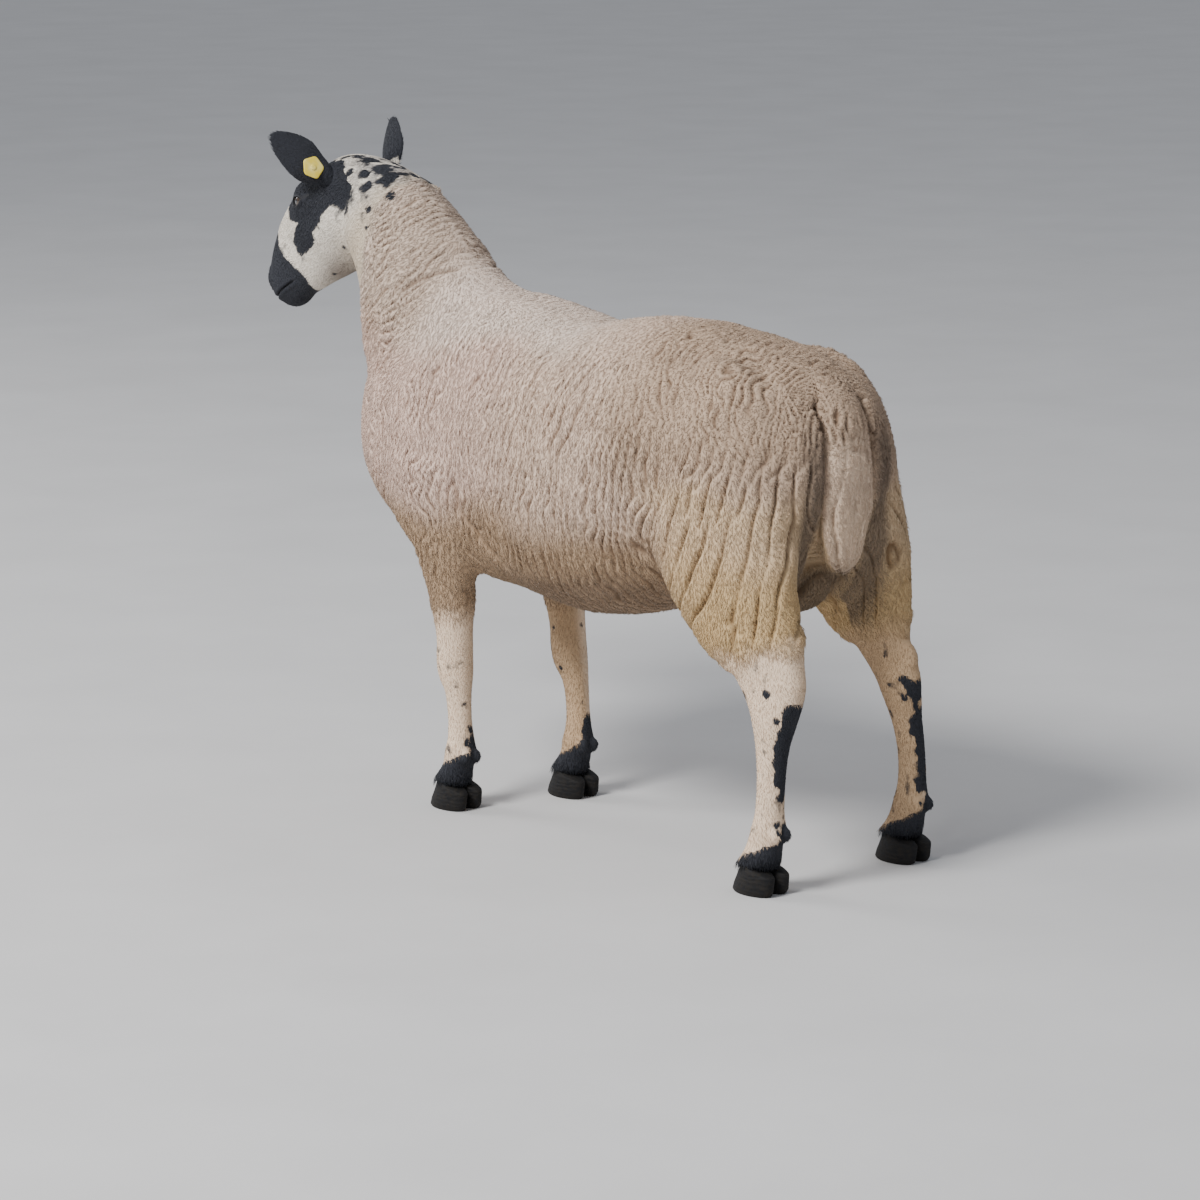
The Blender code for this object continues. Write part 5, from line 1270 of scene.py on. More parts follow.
def coat_colours(points, fleece):
    """The colour of the coat, apart from its black markings."""
    x, y, z = points.T
    patchy = value_noise(points, 0.09, 5)
    wander = 0.03 * patchy
    shoulder = in_part(SHOULDER_TINTED, y + 0.05 * patchy, z)
    withers = in_part(WITHERS_TINTED, y + wander, z + wander)
    rump = in_part(RUMP_TINTED, y + 0.05 * patchy, z + wander)
    thigh = in_part(THIGH_TINTED, y + wander, z + wander)
    # The lower sides are painted darker towards the belly.
    low = smoothstep(0.480, 0.400, z + wander) * (1 - thigh)
    # Painted shade: the underside of the belly is washed brown.
    shaded_underside = smoothstep(0.165, 0.130, np.abs(x)) * smoothstep(0.395, 0.350, z + 0.4 * wander) * (1 - thigh)
    shaded_underside *= smoothstep(-0.24, -0.16, y)
    # Painted light: the tail is painted a lighter cream than the fleece around it, where it faces the light.
    lit_tail = smoothstep(0.050, 0.042, np.abs(x)) * (y > 0.322) * smoothstep(0.62, 0.56, z)
    neck = in_part(NECK_TINTED, y, z) * smoothstep(-0.56, -0.50, y)
    # Painted shade: dark brown in the grooves beside the tail, wider over the shaded right thigh, and under
    # the tail.
    shade_beside_tail = smoothstep(0.026, 0.008, np.abs(np.abs(x) - np.where(x < 0, 0.070, 0.060))) * (y > 0.26)
    shade_beside_tail *= smoothstep(0.64, 0.57, z) * (1 - lit_tail)
    shade_below_tail = smoothstep(0.07, 0.04, np.abs(x)) * (y > 0.16) * smoothstep(0.44, 0.40, z)
    wool = washed(CREAM, (
        (PINKISH, 0.80 * shoulder),
        (PALE, 0.80 * withers),
        (TAWNY, 0.85 * rump),
        (YELLOWISH, 0.85 * thigh),
        (STRAW, 0.80 * thigh * smoothstep(0.47, 0.36, z + wander)),
        (LOW_SIDE_DARKER, 0.85 * low),
        (BELLY_SHADE_BROWN, 0.85 * shaded_underside),
        (LIT_TAIL_CREAM, 0.85 * lit_tail),
        (TAWNY, 0.50 * neck),
        (TAIL_GAP_SHADE, 0.80 * np.maximum(shade_beside_tail, shade_below_tail)),
    ))
    along, above, _ = in_head_frame(points).T
    head = smoothstep(0.56, 0.64, z)
    throat = smoothstep(-0.085, -0.150, above) * smoothstep(0.13, 0.05, along) * head
    # Darker under the jaw.
    under_jaw = np.exp(-(((along - 0.120) / 0.040) ** 2 + ((above + 0.118) / 0.022) ** 2)) * head
    leg_axis = np.where(y < FORE_HALF, 0.094, np.where(x < 0, 0.150, 0.126))
    # Painted shade: the inner faces of the legs are painted tan, strongest on the right legs.
    inner = smoothstep(0.006, -0.016, np.abs(x) - leg_axis) * (1 - head)
    hair = washed(LEG_WHITE, (
        (FACE_WHITE, head),
        (THROAT, 0.80 * throat),
        (UNDER_JAW_DARK, 0.75 * under_jaw),
        (SHADED_INNER_LEG_TAN, np.where(x < 0, 0.85, 0.30) * inner),
    ))
    away = np.linalg.norm(points - np.array(MOTTLED_CROWN), axis=1) / MOTTLED_REACH
    grey = smoothstep(-0.25, 0.25, value_noise(points, 0.014, 17)) * np.exp(-(away**2))
    return blend(blend(hair, wool, fleece), np.array(CROWN_GREY), 0.75 * grey)


def set_attribute(mesh, name, values):
    """Values at the mesh's points: numbers, or colours as rows of three."""
    values = np.asarray(values, np.float32)
    if values.ndim == 2:
        layer = mesh.attributes.new(name, "FLOAT_COLOR", "POINT")
        layer.data.foreach_set("color", np.column_stack([values, np.ones(len(values), np.float32)]).ravel())
    else:
        layer = mesh.attributes.new(name, "FLOAT", "POINT")
        layer.data.foreach_set("value", values)


def finish_skin(skin):
    """The skin's features, ridges and markings, from its points. Gives back what its coat needs to know."""
    refine_head(skin)
    points = points_of(skin.data)
    lid_dark = np.zeros(len(points))
    for side in (1, -1):
        points, dark_rim = add_lids(points, side)
        lid_dark = np.maximum(lid_dark, dark_rim)
    set_points(skin.data, points)
    move, wet = face_features(points)
    set_points(skin.data, points + normals_of(skin.data) * move[:, None])
    ears = [ear_form(side) for side in (1, -1)]
    tag = ear_tag(ears[0])
    for ear in ears:
        combined(skin, ear, "UNION")
    markings = seen_markings(skin)
    tree = KDTree(len(points))
    for i, point in enumerate(points):
        tree.insert(point, i)
    tree.balance()
    points = points_of(skin.data)
    normals = normals_of(skin.data)
    nearest = np.array([tree.find(p)[1:] for p in points])
    old = nearest[:, 0].astype(int)
    same = nearest[:, 1] < JOIN_REACH
    wet = np.where(same, np.maximum(wet, 0.8 * lid_dark)[old], 0.0)
    lid_dark = np.where(same, lid_dark[old], 0.0)
    fleece = fleece_share(points)
    crease, height = grooves(points)
    height = height * (1 - crease) * (1 + 0.25 * value_noise(points, 0.03, 8))
    left = np.abs(points) * np.array((1, 0, 0)) + points * np.array((0, 1, 1))
    for line, width, deep in FOLDS:
        fold = np.exp(-((segment_distance(left, line) / width) ** 2))
        height = height - deep * fold
        crease = np.maximum(crease, 0.9 * fold)
    points = points + normals * (height * fleece)[:, None]
    set_points(skin.data, points)
    lid_line = LID_LINE_WIDTH * (lid_dark - LID_LINE_FROM)
    dark = np.maximum(black_markings(points, markings), lid_line)
    set_attribute(skin.data, "coat", coat_colours(points, fleece))
    set_attribute(skin.data, "dark", dark)
    # Painted shade: the depth is lower in the creases and folds of the fleece, which darkens them.
    set_attribute(skin.data, "depth", 1 - CREASE_SHADE * crease * fleece)
    set_attribute(skin.data, "wet", wet)
    set_attribute(skin.data, "wool", fleece)
    skin.data.shade_smooth()
    return {"crease": crease, "fleece": fleece, "wet": wet, "markings": markings}, tag


def scattered(mesh, weights, count, rng):
    """Places spread over the mesh by area and weight: triangle corners and the shares of each."""
    mesh.calc_loop_triangles()
    flat = np.empty(len(mesh.loop_triangles) * 3, np.int32)
    mesh.loop_triangles.foreach_get("vertices", flat)
    corners = flat.reshape(-1, 3)
    points = points_of(mesh)
    a, b, c = (points[corners[:, i]] for i in range(3))
    area = np.linalg.norm(np.cross(b - a, c - a), axis=1) / 2 * weights[corners].mean(axis=1)
    total = np.cumsum(area)
    aims = (np.arange(count) + rng.random(count)) / count * total[-1]
    chosen = corners[np.searchsorted(total, aims)]
    shares = rng.random((count, 2))
    over = shares.sum(axis=1) > 1
    shares[over] = 1 - shares[over]
    shares = np.column_stack([1 - shares.sum(axis=1), shares])
    return chosen, shares


def at_places(values, chosen, shares):
    """Values of the mesh's points, blended at scattered places."""
    values = values[chosen]
    shares = shares[:, :, None] if values.ndim == 3 else shares
    return (values * shares).sum(axis=1)


def lock_shape(widest):
    """One closed lock with three sides: its points as shares of length, width and height, and its faces."""
    round_it = [(widest, -0.5, LOCK_UNDERSIDE), (widest, 0.5, LOCK_UNDERSIDE), (widest, 0.0, LOCK_TOP)]
    places = [(0.0, 0.0, 0.0)] + round_it + [(1.0, 0.0, 0.0)]
    faces = [(0, 1 + i, 1 + (i + 1) % 3) for i in range(3)]
    faces += [(4, 1 + (i + 1) % 3, 1 + i) for i in range(3)]
    return np.array(places), np.array(faces)


def tuft_mesh(name, widest, roots, normals, lies, size, looks, unwrap):
    """One mesh of many closed tufts that lie along the body, each with its root's colours and patch."""
    shape, faces = lock_shape(widest)
    length, width, lift, sweep = (size[k][:, None] for k in ("length", "width", "lift", "sweep"))
    sides = np.cross(normals, lies)
    t, across, raised = shape.T
    rise = lift * (1 - (1 - t) ** 2) - ROOT_DEPTH * (t == 0)
    reach = length * t
    points = roots[:, None, :] + lies[:, None, :] * reach[:, :, None]
    points = points + normals[:, None, :] * (rise + width * raised)[:, :, None]
    points = points + sides[:, None, :] * (width * across + sweep * t**2)[:, :, None]
    count, each = len(roots), len(shape)
    mesh = bpy.data.meshes.new(name)
    mesh.vertices.add(count * each)
    mesh.vertices.foreach_set("co", points.astype(np.float32).ravel())
    corners = (faces[None] + (np.arange(count) * each)[:, None, None]).reshape(-1)
    mesh.loops.add(len(corners))
    mesh.loops.foreach_set("vertex_index", corners.astype(np.int32))
    mesh.polygons.add(len(corners) // 3)
    mesh.polygons.foreach_set("loop_start", np.arange(0, len(corners), 3, dtype=np.int32))
    mesh.update(calc_edges=True)
    mesh.shade_smooth()
    layer = mesh.uv_layers.new(name="OFBake")
    patch = np.stack([across, t - 0.5], axis=-1) * PATCH
    spots = (unwrap[:, None, :] + patch[None]).reshape(-1, 2)
    layer.data.foreach_set("uv", spots[corners].astype(np.float32).ravel())
    set_attribute(mesh, "coat", np.repeat(looks["coat"], each, axis=0))
    set_attribute(mesh, "dark", np.repeat(looks["dark"], each))
    # Painted shade: each tuft is darker towards its root and lighter at its tip.
    painted_tip_light = looks["depth"][:, None] * (1 - ROOT_SHADE + ROOT_SHADE * t)[None]
    set_attribute(mesh, "depth", painted_tip_light.ravel())
    mesh.validate()
    obj = bpy.data.objects.new(name, mesh)
    bpy.context.scene.collection.objects.link(obj)
    return obj


def spread_out(flat):
    """Unwrapped places fitted into the unit square, with a margin."""
    low, high = flat.min(axis=0), flat.max(axis=0)
    return 0.01 + 0.98 * (flat - low) / np.maximum(high - low, 1e-6)


def round_body(points):
    """Unwrap of the body round its length, from the back down each side."""
    round_it = np.arctan2(points[:, 0], points[:, 2] - MIDDLE_OF_BODY)
    return np.stack([round_it, points[:, 1] + 0.3 * points[:, 2]], axis=1)


def round_leg(points, kind, side):
    rows = np.array(LEG_STATIONS[kind])
    outward, back = FOOT_SHIFT[kind, side]
    middle_y = np.interp(points[:, 2], rows[::-1, 0], rows[::-1, 2]) + back * 0.6
    middle_x = side * (rows[6, 1] + outward * 0.6)
    return np.stack([np.arctan2(points[:, 0] - middle_x, middle_y - points[:, 1]), points[:, 2]], axis=1)


def round_head(points):
    local = in_head_frame(points)
    return np.stack([np.arctan2(local[:, 2], local[:, 1] + 0.06), local[:, 0]], axis=1)


def flat_ear(points, normals, side):
    root, tip, across, cup = (np.array(v) for v in ear_frame(side))
    away = points - root
    inner = (normals @ cup > 0) * (2.6 * EAR_HALF_WIDTH)
    return np.stack([away @ across + inner, away @ tip], axis=1)


def wool_coat(skin, facts, rng):
    """The locks of the fleece, thick on the ridges and short in the creases, where they get painted shade."""
    bare_crease = 1 - 0.75 * facts["crease"]
    weights = np.clip(facts["fleece"] * 1.3, 0, 1) * (facts["fleece"] > 0.10) * bare_crease
    chosen, shares = scattered(skin.data, weights, WOOL_LOCKS, rng)
    roots = at_places(points_of(skin.data), chosen, shares)
    normals = unit(at_places(normals_of(skin.data), chosen, shares))
    crease = at_places(facts["crease"], chosen, shares)
    fleece = at_places(facts["fleece"], chosen, shares)
    curl = curliness(roots)
    lies = lie_of_coat(roots, normals)
    turned = rng.normal(0, 1, len(roots)) * (LOCK_STRAY + CURL_STRAY * curl)
    sides = np.cross(normals, lies)
    lies = lies * np.cos(turned)[:, None] + sides * np.sin(turned)[:, None]
    growth = (0.45 + 0.55 * fleece) * (1 - 0.35 * crease) * rng.uniform(0.75, 1.25, len(roots))
    size = {
        "length": WOOL_LENGTH * growth * (1 - 0.30 * curl),
        "width": WOOL_WIDTH * rng.uniform(0.7, 1.25, len(roots)) * (0.6 + 0.4 * fleece),
        "lift": WOOL_LIFT * growth * rng.uniform(0.6, 1.1, len(roots)) * (1 - 0.4 * crease),
        "sweep": rng.normal(0, LOCK_SWEEP, len(roots)) * (1 + curl),
    }
    looks = {
        "coat": coat_colours(roots, fleece) * rng.uniform(0.94, 1.05, len(roots))[:, None],
        "dark": black_markings(roots, facts["markings"]),
        # Painted shade: locks in the creases are darker.
        "depth": 1 - 0.72 * crease,
    }
    order = np.lexsort((roots[:, 1], roots[:, 0] > 0))
    made = []
    pieces = int(math.ceil(len(order) / LOCKS_IN_PIECE))
    for number in range(pieces):
        part = order[number * len(order) // pieces:(number + 1) * len(order) // pieces]
        some = {k: v[part] for k, v in size.items()}
        look = {k: v[part] for k, v in looks.items()}
        flat = spread_out(round_body(roots[part]))
        name = f"fleece_{number + 1}"
        made.append(tuft_mesh(name, LOCK_WIDEST, roots[part], normals[part], lies[part], some, look, flat))
    return made


def short_coat(skin, facts, rng):
    """Short flat hair on the head, ears and legs, in a piece for each."""
    points = points_of(skin.data)
    bare = np.clip(1 - facts["fleece"] * 1.2, 0, 1) * (1 - np.clip(facts["wet"] * 1.5, 0, 1))
    on_head = smoothstep(0.50, 0.60, points[:, 2])
    chosen, shares = scattered(skin.data, bare * (0.75 + 0.45 * on_head), SHORT_HAIRS, rng)
    roots = at_places(points, chosen, shares)
    normals = unit(at_places(normals_of(skin.data), chosen, shares))
    fleece = at_places(facts["fleece"], chosen, shares)
    lies = lie_of_hair(roots, normals)
    local = in_head_frame(roots)
    muzzle = smoothstep(0.15, 0.19, local[:, 0]) * (roots[:, 2] > HEAD_ABOVE)
    over_hoof = smoothstep(*OVER_CLAW, roots[:, 2])
    growth = rng.uniform(0.7, 1.3, len(roots)) * (1 - 0.45 * muzzle) * (1 + 0.9 * fleece) * (1 + over_hoof)
    size = {
        "length": HAIR_LENGTH * growth,
        "width": HAIR_WIDTH * rng.uniform(0.7, 1.2, len(roots)) * (1 + 0.8 * fleece),
        "lift": HAIR_LIFT * growth * rng.uniform(0.3, 1.5, len(roots)) * (1 + 3 * fleece + 1.2 * over_hoof),
        "sweep": rng.normal(0, HAIR_SWEEP, len(roots)),
    }
    looks = {
        "coat": coat_colours(roots, fleece) * rng.uniform(0.88, 1.08, len(roots))[:, None],
        "dark": black_markings(roots, facts["markings"]),
        "depth": rng.uniform(0.85, 1.0, len(roots)),
    }
    region = np.full(len(roots), "head", dtype=object)
    for kind, side in LEGS:
        here = (roots[:, 1] < FORE_HALF) == (kind == "fore")
        leg = (roots[:, 2] < MIDDLE_OF_BODY) & here & (roots[:, 0] * side > 0)
        region[leg] = f"{kind}leg_{SIDE_WORD[side]}"
    for side in (1, -1):
        root, tip, _, _ = ear_frame(side)
        up_ear = (roots - np.array(root)) @ np.array(tip)
        near = np.linalg.norm(roots - np.array(root + tip * EAR_MIDDLE), axis=1) < EAR_HAIR_REACH
        region[near & (up_ear > EAR_HAIR_FROM)] = f"ear_{SIDE_WORD[side]}"
    made = []
    for name in sorted(set(region)):
        part = region == name
        some = {k: v[part] for k, v in size.items()}
        look = {k: v[part] for k, v in looks.items()}
        side = 1 if name.endswith("left") else -1
        if name == "head":
            flat = round_head(roots[part])
        elif name.startswith("ear"):
            flat = flat_ear(roots[part], normals[part], side)
        else:
            flat = round_leg(roots[part], name[:4], side)
        flat = spread_out(flat)
        name = f"hair_{name}"
        made.append(tuft_mesh(name, HAIR_WIDEST, roots[part], normals[part], lies[part], some, look, flat))
    return made


def eye_ball(side):
    """An eyeball that knows how far each point lies from its iris and pupil."""
    middle, gaze, length, across = eye_axes(side)
    ball = ellipsoid(f"eye_{SIDE_WORD[side]}", (0, 0, 0), (EYE_RADIUS,) * 3, 96, 64)
    places = points_of(ball.data)
    x, y, z = places.T
    off_centre = np.where(z > 0, np.hypot(x, y), 1.0)
    slot = np.maximum(np.abs(x) - PUPIL_HALF_LENGTH, np.abs(y) - PUPIL_HALF_HEIGHT)
    past_x = np.clip(np.abs(x) - (PUPIL_HALF_LENGTH - PUPIL_CORNER), 0, None)
    past_y = np.clip(np.abs(y) - PUPIL_CORNER_LEVEL, 0, None)
    corner = np.hypot(past_x, past_y) - PUPIL_CORNER
    set_points(ball.data, middle + places @ np.array((length, across, gaze)))
    set_attribute(ball.data, "off_centre", off_centre)
    set_attribute(ball.data, "pupil", np.where(z > 0, np.maximum(slot, corner), 1.0))
    if np.linalg.det(np.array((length, across, gaze))) < 0:
        ball.data.flip_normals()
    ball.data.shade_smooth()
    return ball


def toe_place(kind, side):
    z, x, y, _, _ = LEG_STATIONS[kind][-1]
    dx, dy = foot_shift(kind, side, z)
    return np.array((side * x + dx, y + dy, 0.0))


def claw(kind, side, sign):
    """One claw of a hoof: flat below, sloped in front, and level with the sloped coronet above."""
    outline = smooth_curve(CLAW_OUTLINE + CLAW_OUTLINE[:1], CLAW_SIDES + 1)[:-1]
    along, out = outline.T
    low = -along * CLAW_LENGTH / 2
    top = (CLAW_HEIGHT + CLAW_HEEL_HEIGHT) / 2 - (CLAW_HEIGHT - CLAW_HEEL_HEIGHT) / CLAW_LENGTH * low
    top = top - CLAW_BELOW_CORONET
    shares, grows, leans = np.array(CLAW_RINGS).T
    rings = []
    for share, pinch in CLAW_EDGES:
        height = share * (top + CLAW_IN_HAIR)
        grow = np.interp(height / CLAW_HEIGHT, shares, grows) * pinch
        lean = np.interp(height / CLAW_HEIGHT, shares, leans)
        x = sign * (CLAW_CLEFT / 2 + out * CLAW_WIDTH * grow)
        rings.append(np.stack([x, low * grow + lean, height], axis=1))
    obj = loft(f"claw_{kind}_{SIDE_WORD[side]}_{'outer' if sign == side else 'inner'}", rings)
    turn = np.array(Matrix.Rotation(-sign * CLAW_TOE_SPLAY, 3, "Z"))
    set_points(obj.data, points_of(obj.data) @ turn.T + toe_place(kind, side))
    obj.data.shade_smooth()
    return obj


def oriented(obj, middle, x_axis, y_axis, z_axis):
    """Turns an object's own axes to these unit vectors and moves it to middle."""
    turn = Matrix((x_axis, y_axis, z_axis)).transposed()
    for vert in obj.data.vertices:
        vert.co = turn @ vert.co + middle
    if turn.determinant() < 0:
        obj.data.flip_normals()
    return obj


def rounded_plate(name, sides, radius, corner, thickness):
    """A flat plate with equal sides, rounded corners and a rounded rim, one corner pointing along -x."""
    outline = []
    for i in range(sides):
        middle_angle = math.pi + 2 * math.pi * i / sides
        centre = (radius - corner) * np.array((math.cos(middle_angle), math.sin(middle_angle)))
        for step in np.linspace(-1, 1, 9):
            angle = middle_angle + step * math.pi / sides
            outline.append(centre + corner * np.array((math.cos(angle), math.sin(angle))))
    outline = np.array(outline)
    rings = []
    for height, inset in PLATE_RIM:
        flat = outline * (1 - inset * PLATE_RIM_DEPTH / radius)
        rings.append(np.column_stack([flat, np.full(len(flat), height * thickness)]))
    return loft(name, rings)


def stud(name, radius, thickness):
    """A short round pin with a rounded end."""
    rings = []
    angles = np.arange(STUD_SIDES) * 2 * math.pi / STUD_SIDES
    for height, share in STUD_PROFILE:
        flat = np.stack([np.cos(angles), np.sin(angles)], axis=1) * radius * share
        rings.append(np.column_stack([flat, np.full(STUD_SIDES, height * thickness)]))
    return loft(name, rings)


def plate_depth(tree, middle, way, tip, across, radius):
    """How far along way a flat plate must sit to clear the ear."""
    deepest = 0.0
    for share in (0.0, 0.35, 0.7, 1.0):
        for i in range(16):
            angle = 2 * math.pi * i / 16
            spot = middle + (tip * math.cos(angle) + across * math.sin(angle)) * radius * share
            hit = tree.ray_cast(spot + way * 0.05, -way)
            if hit[0] is not None:
                deepest = max(deepest, (hit[0] - middle).dot(way))
    return deepest + TAG_CLEARANCE


def ear_tag(ear):
    """A plate outside the ear, a round button inside it and the pin that joins them."""
    root, tip, across, cup = ear_frame(1)
    middle = root + tip * (EAR_LENGTH * TAG_ALONG) + cup * (EAR_BEND * TAG_ALONG ** 2) + across * TAG_ACROSS
    tree = BVHTree.FromObject(ear, bpy.context.evaluated_depsgraph_get())
    outside = plate_depth(tree, middle, -cup, tip, across, TAG_RADIUS)
    inside = plate_depth(tree, middle, cup, tip, across, TAG_BUTTON_RADIUS)
    corner_way = tip * math.cos(TAG_TURN) + across * math.sin(TAG_TURN)
    level = cup.cross(corner_way)
    plate = rounded_plate("ear_tag_plate", TAG_SIDES, TAG_RADIUS, TAG_CORNER, TAG_THICKNESS)
    oriented(plate, middle - cup * (outside + TAG_THICKNESS / 2), corner_way, level, cup)
    boss = stud("boss", TAG_BOSS_RADIUS, TAG_BOSS_HEIGHT)
    oriented(boss, middle - cup * (outside + TAG_THICKNESS + TAG_BOSS_OUT), corner_way, -level, -cup)
    button = rounded_plate("button", TAG_BUTTON_SIDES, TAG_BUTTON_RADIUS, TAG_BUTTON_CORNER, TAG_THICKNESS)
    oriented(button, middle + cup * (inside + TAG_THICKNESS / 2), tip, across, cup)
    pin = stud("pin", TAG_PIN_RADIUS, outside + inside + TAG_THICKNESS)
    oriented(pin, middle + cup * (inside - outside) / 2, tip, across, cup)
    bm = bmesh.new()
    for part in (plate, boss, button, pin):
        bm.from_mesh(part.data)
        bpy.data.objects.remove(part)
    tag = object_from_bmesh("ear_tag_piece", bm)
    tag.data.shade_smooth()
    return tag


def add(tree, kind, inputs=(), **settings):
    """A node with its settings. Each input is linked if it is a socket, or set."""
    made = tree.nodes.new(kind)
    for key, value in settings.items():
        setattr(made, key, value)
    for key, value in dict(inputs).items():
        if isinstance(value, bpy.types.NodeSocket):
            tree.links.new(value, made.inputs[key])
        else:
            made.inputs[key].default_value = value
    return made


def new_group(name, inputs, outputs):
    tree = bpy.data.node_groups.new(name, "ShaderNodeTree")
    for way, sockets in (("INPUT", inputs), ("OUTPUT", outputs)):
        for label, kind in sockets:
            tree.interface.new_socket(name=label, in_out=way, socket_type=kind)
    return tree, tree.nodes.new("NodeGroupInput"), tree.nodes.new("NodeGroupOutput")


def calculated(tree, operation, first, second=0.5):
    return add(tree, "ShaderNodeMath", {0: first, 1: second}, operation=operation).outputs[0]


def mapped(tree, value, low, high, to_low=0.0, to_high=1.0):
    ends = {"Value": value, "From Min": low, "From Max": high, "To Min": to_low, "To Max": to_high}
    return add(tree, "ShaderNodeMapRange", ends).outputs[0]


def mixed(tree, share, first, second, blend="MIX"):
    made = add(tree, "ShaderNodeMix", {0: share, 6: first, 7: second}, data_type="RGBA", blend_type=blend)
    return made.outputs[2]


def noise(tree, scale, detail=3.0, roughness=0.55):
    place = add(tree, "ShaderNodeTexCoord").outputs["Object"]
    sizes = {"Vector": place, "Scale": scale, "Detail": detail, "Roughness": roughness}
    return add(tree, "ShaderNodeTexNoise", sizes).outputs["Fac"]


def attribute(tree, name, output="Fac"):
    return add(tree, "ShaderNodeAttribute", attribute_name=name).outputs[output]


def rgb(colour):
    return (*colour, 1.0)


def coat_look():
    """Group: the coat's colour with its black markings, painted shade at the roots and in the creases, and
    fine variation.
    """
    tree, given, out = new_group(
        "coat look",
        (("Coat", "NodeSocketColor"), ("Dark", "NodeSocketFloat"), ("Depth", "NodeSocketFloat")),
        (("Colour", "NodeSocketColor"), ("Black", "NodeSocketFloat"), ("Grain", "NodeSocketFloat")),
    )
    coarse, fine = noise(tree, scale=22.0), noise(tree, scale=260.0)
    grain = noise(tree, scale=900.0, detail=2.0)
    edge = calculated(tree, "MULTIPLY_ADD", fine, BLACK_EDGE_STRAY)
    edge.node.inputs[2].default_value = -BLACK_EDGE_STRAY / 2
    black = calculated(tree, "ADD", given.outputs["Dark"], edge)
    black = mapped(tree, black, -BLACK_EDGE, BLACK_EDGE)
    broad_light = mapped(tree, coarse, *NOISE_SPREAD, to_low=0.93, to_high=1.06)
    fine_light = mapped(tree, grain, *NOISE_SPREAD, to_low=0.90, to_high=1.08)
    light = calculated(tree, "MULTIPLY", broad_light, fine_light)
    scaled = add(tree, "ShaderNodeVectorMath", {0: given.outputs["Coat"], "Scale": light}, operation="SCALE")
    lit = scaled.outputs[0]
    # Painted shade: where the depth is low, at roots and in creases, the colour is darkened towards the root
    # tint.
    rooted = mixed(tree, 1.0, lit, rgb(ROOT_SHADE_TINT), "MULTIPLY")
    shaded = mixed(tree, mapped(tree, given.outputs["Depth"], 0.10, 0.92), rooted, lit)
    dark_hair = mixed(tree, grain, rgb(BLACK), rgb(BLACK_TIPS))
    tree.links.new(mixed(tree, black, shaded, dark_hair), out.inputs["Colour"])
    tree.links.new(black, out.inputs["Black"])
    tree.links.new(grain, out.inputs["Grain"])
    return tree


def new_material(name):
    material = bpy.data.materials.new(name)
    material.use_nodes = True
    return material, material.node_tree, material.node_tree.nodes["Principled BSDF"]


def roughened(tree, shader, value, smoothest, roughest):
    """Roughness that follows a noise between two ends."""
    rough = mapped(tree, value, *NOISE_SPREAD, to_low=smoothest, to_high=roughest)
    tree.links.new(rough, shader.inputs["Roughness"])


def bump(tree, shader, height, distance, strength=1.0):
    made = add(tree, "ShaderNodeBump", {"Height": height, "Distance": distance, "Strength": strength})
    tree.links.new(made.outputs[0], shader.inputs["Normal"])


def looked(tree, group):
    """The coat group fed with the mesh's own attributes."""
    made = add(tree, "ShaderNodeGroup")
    made.node_tree = group
    tree.links.new(attribute(tree, "coat", "Color"), made.inputs["Coat"])
    tree.links.new(attribute(tree, "dark"), made.inputs["Dark"])
    tree.links.new(attribute(tree, "depth"), made.inputs["Depth"])
    return made


def skin_material(group):
    material, tree, shader = new_material("hide under the coat")
    look = looked(tree, group)
    wet = attribute(tree, "wet")
    damp = mixed(tree, calculated(tree, "MULTIPLY", wet, 0.85), look.outputs["Colour"], rgb(WET_SKIN))
    tree.links.new(damp, shader.inputs["Base Color"])
    dry = mapped(tree, look.outputs["Grain"], *NOISE_SPREAD, to_low=0.78, to_high=0.95)
    rough = calculated(tree, "SUBTRACT", dry, calculated(tree, "MULTIPLY", wet, 0.40))
    tree.links.new(rough, shader.inputs["Roughness"])
    fine, broad = noise(tree, scale=520.0, detail=2.0), noise(tree, scale=150.0)
    strands = calculated(tree, "ADD", fine, calculated(tree, "MULTIPLY", broad, 1.6))
    bump(tree, shader, strands, distance=0.0007, strength=0.8)
    shader.inputs["Specular IOR Level"].default_value = 0.30
    return material


def fleece_material(group):
    material, tree, shader = new_material("short curled fleece")
    look = looked(tree, group)
    tree.links.new(look.outputs["Colour"], shader.inputs["Base Color"])
    roughened(tree, shader, look.outputs["Grain"], smoothest=0.86, roughest=1.0)
    bump(tree, shader, noise(tree, scale=1100.0, detail=2.0), distance=0.0004, strength=0.7)
    shader.inputs["Sheen Weight"].default_value = 0.12
    shader.inputs["Sheen Roughness"].default_value = 0.6
    shader.inputs["Specular IOR Level"].default_value = 0.15
    return material


def hair_material(group):
    material, tree, shader = new_material("short flat hair")
    look = looked(tree, group)
    tree.links.new(look.outputs["Colour"], shader.inputs["Base Color"])
    roughened(tree, shader, look.outputs["Grain"], smoothest=0.50, roughest=0.72)
    bump(tree, shader, noise(tree, scale=1500.0, detail=2.0), distance=0.0002, strength=0.5)
    shader.inputs["Specular IOR Level"].default_value = 0.35
    return material


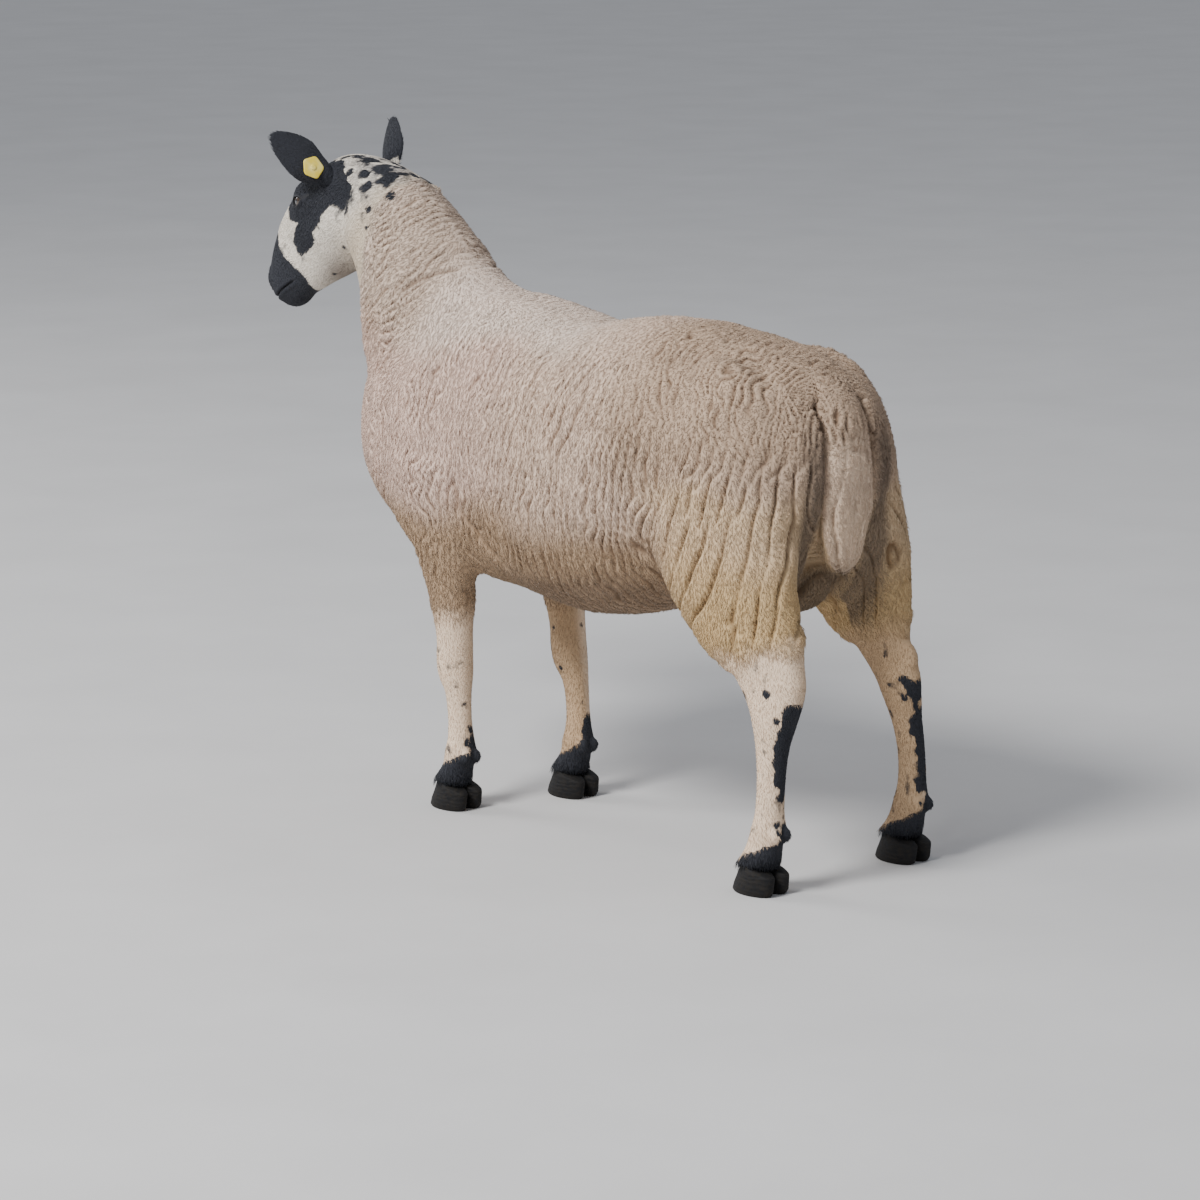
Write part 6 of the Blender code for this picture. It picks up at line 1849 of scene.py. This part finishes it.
def eye_material():
    material, tree, shader = new_material("eye")
    off_centre, pupil = attribute(tree, "off_centre"), attribute(tree, "pupil")
    fibres = noise(tree, scale=420.0, detail=4.0)
    iris = mixed(tree, mapped(tree, fibres, 0.35, 0.65), rgb(IRIS_DARK), rgb(IRIS_LIGHT))
    ringed = mixed(tree, mapped(tree, off_centre, *IRIS_DARKENS), iris, rgb(IRIS_RIM))
    white = mixed(tree, mapped(tree, off_centre, *IRIS_ENDS), ringed, rgb(EYE_WHITE))
    seen = mixed(tree, mapped(tree, pupil, *PUPIL_EDGE), rgb(PUPIL), white)
    tree.links.new(seen, shader.inputs["Base Color"])
    roughened(tree, shader, fibres, smoothest=0.10, roughest=0.16)
    bump(tree, shader, noise(tree, scale=300.0), distance=0.00008, strength=0.4)
    shader.inputs["Coat Weight"].default_value = 1.0
    shader.inputs["Coat Roughness"].default_value = 0.03
    return material


def horn_material():
    material, tree, shader = new_material("hoof horn")
    place = add(tree, "ShaderNodeTexCoord").outputs["Object"]
    height = add(tree, "ShaderNodeSeparateXYZ", {0: place}).outputs[2]
    wobble = calculated(tree, "MULTIPLY", noise(tree, scale=60.0), HORN_WOBBLE)
    level = calculated(tree, "MULTIPLY", calculated(tree, "ADD", height, wobble), HORN_RINGS)
    rings = calculated(tree, "SINE", level)
    scuffs = noise(tree, scale=140.0, detail=5.0, roughness=0.65)
    tone = mixed(tree, mapped(tree, scuffs, 0.40, 0.68), rgb(HORN), rgb(HORN_DUST))
    low = mapped(tree, height, HORN_DUST_TOP, 0.0)
    dusty = mixed(tree, calculated(tree, "MULTIPLY", low, 0.55), tone, rgb(HORN_DUST))
    tree.links.new(dusty, shader.inputs["Base Color"])
    roughened(tree, shader, scuffs, smoothest=0.62, roughest=0.88)
    relief = calculated(tree, "ADD", calculated(tree, "MULTIPLY", rings, 0.35), scuffs)
    bump(tree, shader, relief, distance=0.0006, strength=0.7)
    shader.inputs["Specular IOR Level"].default_value = 0.22
    return material


def tag_material():
    material, tree, shader = new_material("yellow tag plastic")
    wear, fine = noise(tree, scale=90.0, detail=4.0), noise(tree, scale=700.0, detail=2.0)
    tone = mixed(tree, mapped(tree, wear, 0.40, 0.70), rgb(TAG_YELLOW), rgb(TAG_WORN))
    tree.links.new(tone, shader.inputs["Base Color"])
    roughened(tree, shader, wear, smoothest=0.32, roughest=0.50)
    bump(tree, shader, fine, distance=0.0001, strength=0.4)
    return material


def floor_material():
    material, tree, shader = new_material("pale floor")
    blotches = mapped(tree, noise(tree, scale=3.0), *NOISE_SPREAD)
    tone = mixed(tree, blotches, rgb(FLOOR_PALE), rgb(FLOOR_SHADE))
    tree.links.new(tone, shader.inputs["Base Color"])
    roughened(tree, shader, noise(tree, scale=40.0), smoothest=0.75, roughest=0.9)
    return material


def studio():
    """A pale floor, a soft main light high on the sheep's left, a weaker one in front, and a dim sky."""
    bm = bmesh.new()
    bmesh.ops.create_grid(bm, x_segments=1, y_segments=1, size=FLOOR_SIZE)
    floor = object_from_bmesh("floor", bm)
    floor.data.materials.append(floor_material())
    for name, place, size, power in LIGHTS:
        lamp = bpy.data.lights.new(name, "AREA")
        lamp.energy = power
        lamp.shape = "DISK"
        lamp.size = size
        holder = bpy.data.objects.new(name, lamp)
        holder.location = place
        aim = Vector(LIGHTS_AIM) - Vector(place)
        holder.rotation_euler = aim.to_track_quat("-Z", "Y").to_euler()
        bpy.context.scene.collection.objects.link(holder)
    world = bpy.data.worlds.new("soft sky")
    world.use_nodes = True
    world.node_tree.nodes["Background"].inputs["Color"].default_value = rgb(SKY)
    world.node_tree.nodes["Background"].inputs["Strength"].default_value = SKY_STRENGTH
    bpy.context.scene.world = world


def photo_camera():
    back = toward_photo()
    camera = bpy.data.cameras.new("photo camera")
    camera.lens = CAMERA_LENS
    camera.sensor_width = CAMERA_SENSOR
    holder = bpy.data.objects.new("photo camera", camera)
    holder.location = Vector(CAMERA_TARGET) + back * CAMERA_DISTANCE
    holder.rotation_euler = (-back).to_track_quat("-Z", "Y").to_euler()
    bpy.context.scene.collection.objects.link(holder)
    bpy.context.scene.camera = holder


def placed(obj, material, nodes=()):
    """A finished piece: moved to the frame of the CAD, painted, and riding on the body."""
    set_points(obj.data, points_of(obj.data) + SHIFT)
    obj.data.materials.clear()
    obj.data.materials.append(material)
    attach(obj, "root")
    if nodes:
        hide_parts(*nodes)


def build():
    rng = np.random.default_rng(SEED)
    skin = body_skin()
    facts, tag = finish_skin(skin)
    skin.name = "skin"
    group = coat_look()
    wool, hair = fleece_material(group), hair_material(group)
    for obj in wool_coat(skin, facts, rng):
        placed(obj, wool)
    for obj in short_coat(skin, facts, rng):
        placed(obj, hair)
    placed(skin, skin_material(group), SKIN_NODES)
    eyes = eye_material()
    for side in (1, -1):
        placed(eye_ball(side), eyes, (f"eye_{SIDE_WORD[side]}",))
    horn = horn_material()
    for kind, side in LEGS:
        for sign in (1, -1):
            obj = claw(kind, side, sign)
            placed(obj, horn, (obj.name.replace("claw", "hoof"),))
    placed(tag, tag_material(), ("ear_tag",))


build()
studio()
photo_camera()
